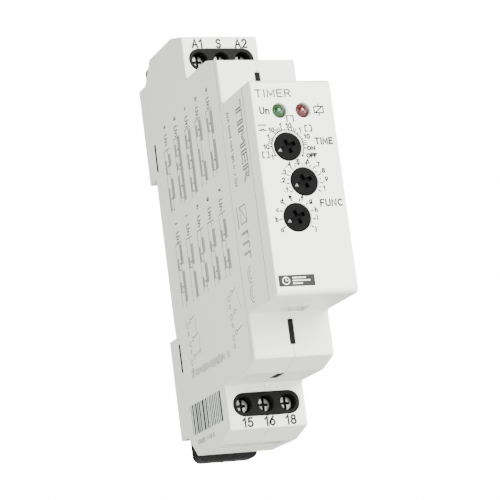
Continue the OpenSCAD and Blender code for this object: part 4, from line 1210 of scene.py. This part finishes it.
# Thread ridge: a small diamond swept along a helix
def makeThreadTree():
    tree, source, sink = newGroup(
        "screwThread",
        {"Place": (0, 0, 0), "Radius": 0.001, "Turns": 8.0, "Length": 0.004, "Ridge": 0.0002,
         "Steel": None},
        [("Geometry", "NodeSocketGeometry")], "GeometryNodeTree")
    helix = addNode(tree, "GeometryNodeCurveSpiral", {
        "Resolution": 24, "Rotations": source.outputs["Turns"], "Start Radius": source.outputs["Radius"],
        "End Radius": source.outputs["Radius"], "Height": source.outputs["Length"]})
    diamond = addNode(tree, "GeometryNodeCurvePrimitiveCircle", {
        "Resolution": 4, "Radius": source.outputs["Ridge"]}, mode="RADIUS")
    swept = addNode(tree, "GeometryNodeCurveToMesh", {
        "Fill Caps": True, "Curve": helix.outputs["Curve"], "Profile Curve": diamond.outputs["Curve"]})
    placed = addNode(tree, "GeometryNodeTransform", {
        "Rotation": (math.pi / 2, 0, 0), "Geometry": swept.outputs["Mesh"],
        "Translation": source.outputs["Place"]})
    return endTree(tree, placed.outputs[0], source.outputs["Steel"], sink)


threadTree = makeThreadTree()


# Draws the shank in to the root of the thread
def thinShank(place):
    def adjust(bm):
        for vert in bm.verts:
            away = Vector((vert.co.x - place[0] * mm, vert.co.z - place[1] * mm))
            radius = away.length / mm
            if abs(radius - screwLook["threadRadius"]) < screwLook["shankMargin"]:
                away *= screwLook["rootRadius"] / radius
                vert.co.x = place[0] * mm + away.x
                vert.co.z = place[1] * mm + away.y
    return adjust


# Paints shade into the slot and the cross of a screw head, with a darker steel
def shadeScrewRecess(screw, place):
    screw.data.materials.append(recessShadeSteel)
    for face in screw.data.polygons:
        away = Vector((face.center.x - place[0] * mm, face.center.z - place[1] * mm))
        depth = face.center.y / mm - screwLook["headFace"]
        inside = away.length < screwLook["recessRadius"] * mm
        if inside and screwLook["recessFrom"] < depth < screwLook["recessDepth"]:
            face.material_index = 1


for terminal, place in screwPlaces.items():
    screw = softened("screw_" + terminal, "screw" + terminal.capitalize(), adjust=thinShank(place),
                     **screwLook["edge"])
    shadeScrewRecess(screw, place)
    thread = grown(threadTree, {
        "Place": (place[0] * mm, screwLook["threadFrom"] * mm + screwLook["turns"] * screwLook["pitch"] * mm,
                  place[1] * mm),
        "Radius": (screwLook["threadRadius"] - screwLook["ridge"]) * mm,
        "Turns": float(screwLook["turns"]), "Length": screwLook["turns"] * screwLook["pitch"] * mm,
        "Ridge": screwLook["ridge"] * mm, "Steel": finishes["screw_steel"]}, "thread" + terminal.capitalize())
    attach(thread, terminal + "_screw")
print("clamp screws made")


# Lamp cores: a pale cup with its die inside each tinted lens

def lathe(bm, centre, profile, steps=28):
    rings = []
    for radius, y in profile:
        rings.append([bm.verts.new((centre[0] * mm + radius * mm * math.cos(2 * math.pi * i / steps), y * mm,
                                    centre[1] * mm + radius * mm * math.sin(2 * math.pi * i / steps)))
                      for i in range(steps)])
    for a, b in zip(rings, rings[1:]):
        for i in range(steps):
            j = (i + 1) % steps
            bm.faces.new((a[i], a[j], b[j], b[i]))
    bm.faces.new(rings[0])
    bm.faces.new(rings[-1][::-1])


lampCup = {
    "places": {"green": (-3.06, 15.78), "red": (2.07, 15.78)},
    "profile": [(0.35, -57.2), (0.95, -57.4), (1.02, -58.1), (1.05, -58.45), (0.92, -58.45), (0.55, -57.95),
                (0.30, -57.92), (0.28, -58.12), (0.16, -58.16)],
}
for lamp, place in lampCup["places"].items():
    bm = bmesh.new()
    lathe(bm, place, lampCup["profile"])
    bmesh.ops.recalc_face_normals(bm, faces=bm.faces)
    core = pieceFrom(bm, lamp + "LampCore")
    smoothBelow(core.data, 40)
    paint(core, cupSteel)
    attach(core, "housing")
print("lamp cores made")


# Floor

def layFloor(setup):
    bm = bmesh.new()
    bmesh.ops.create_grid(bm, x_segments=8, y_segments=8, size=setup["floorSize"] / 2)
    bmesh.ops.translate(bm, verts=bm.verts, vec=(0, 0, -setup["floorDrop"]))
    floor = pieceFrom(bm, "floor")
    paint(floor, mouldedPlastic("floorPaint", setup["floorColor"], setup["floorColor"], 0.7,
                                grain=300.0, cloud=2.0, relief=0.05))


layFloor(studio)
print("floor laid")
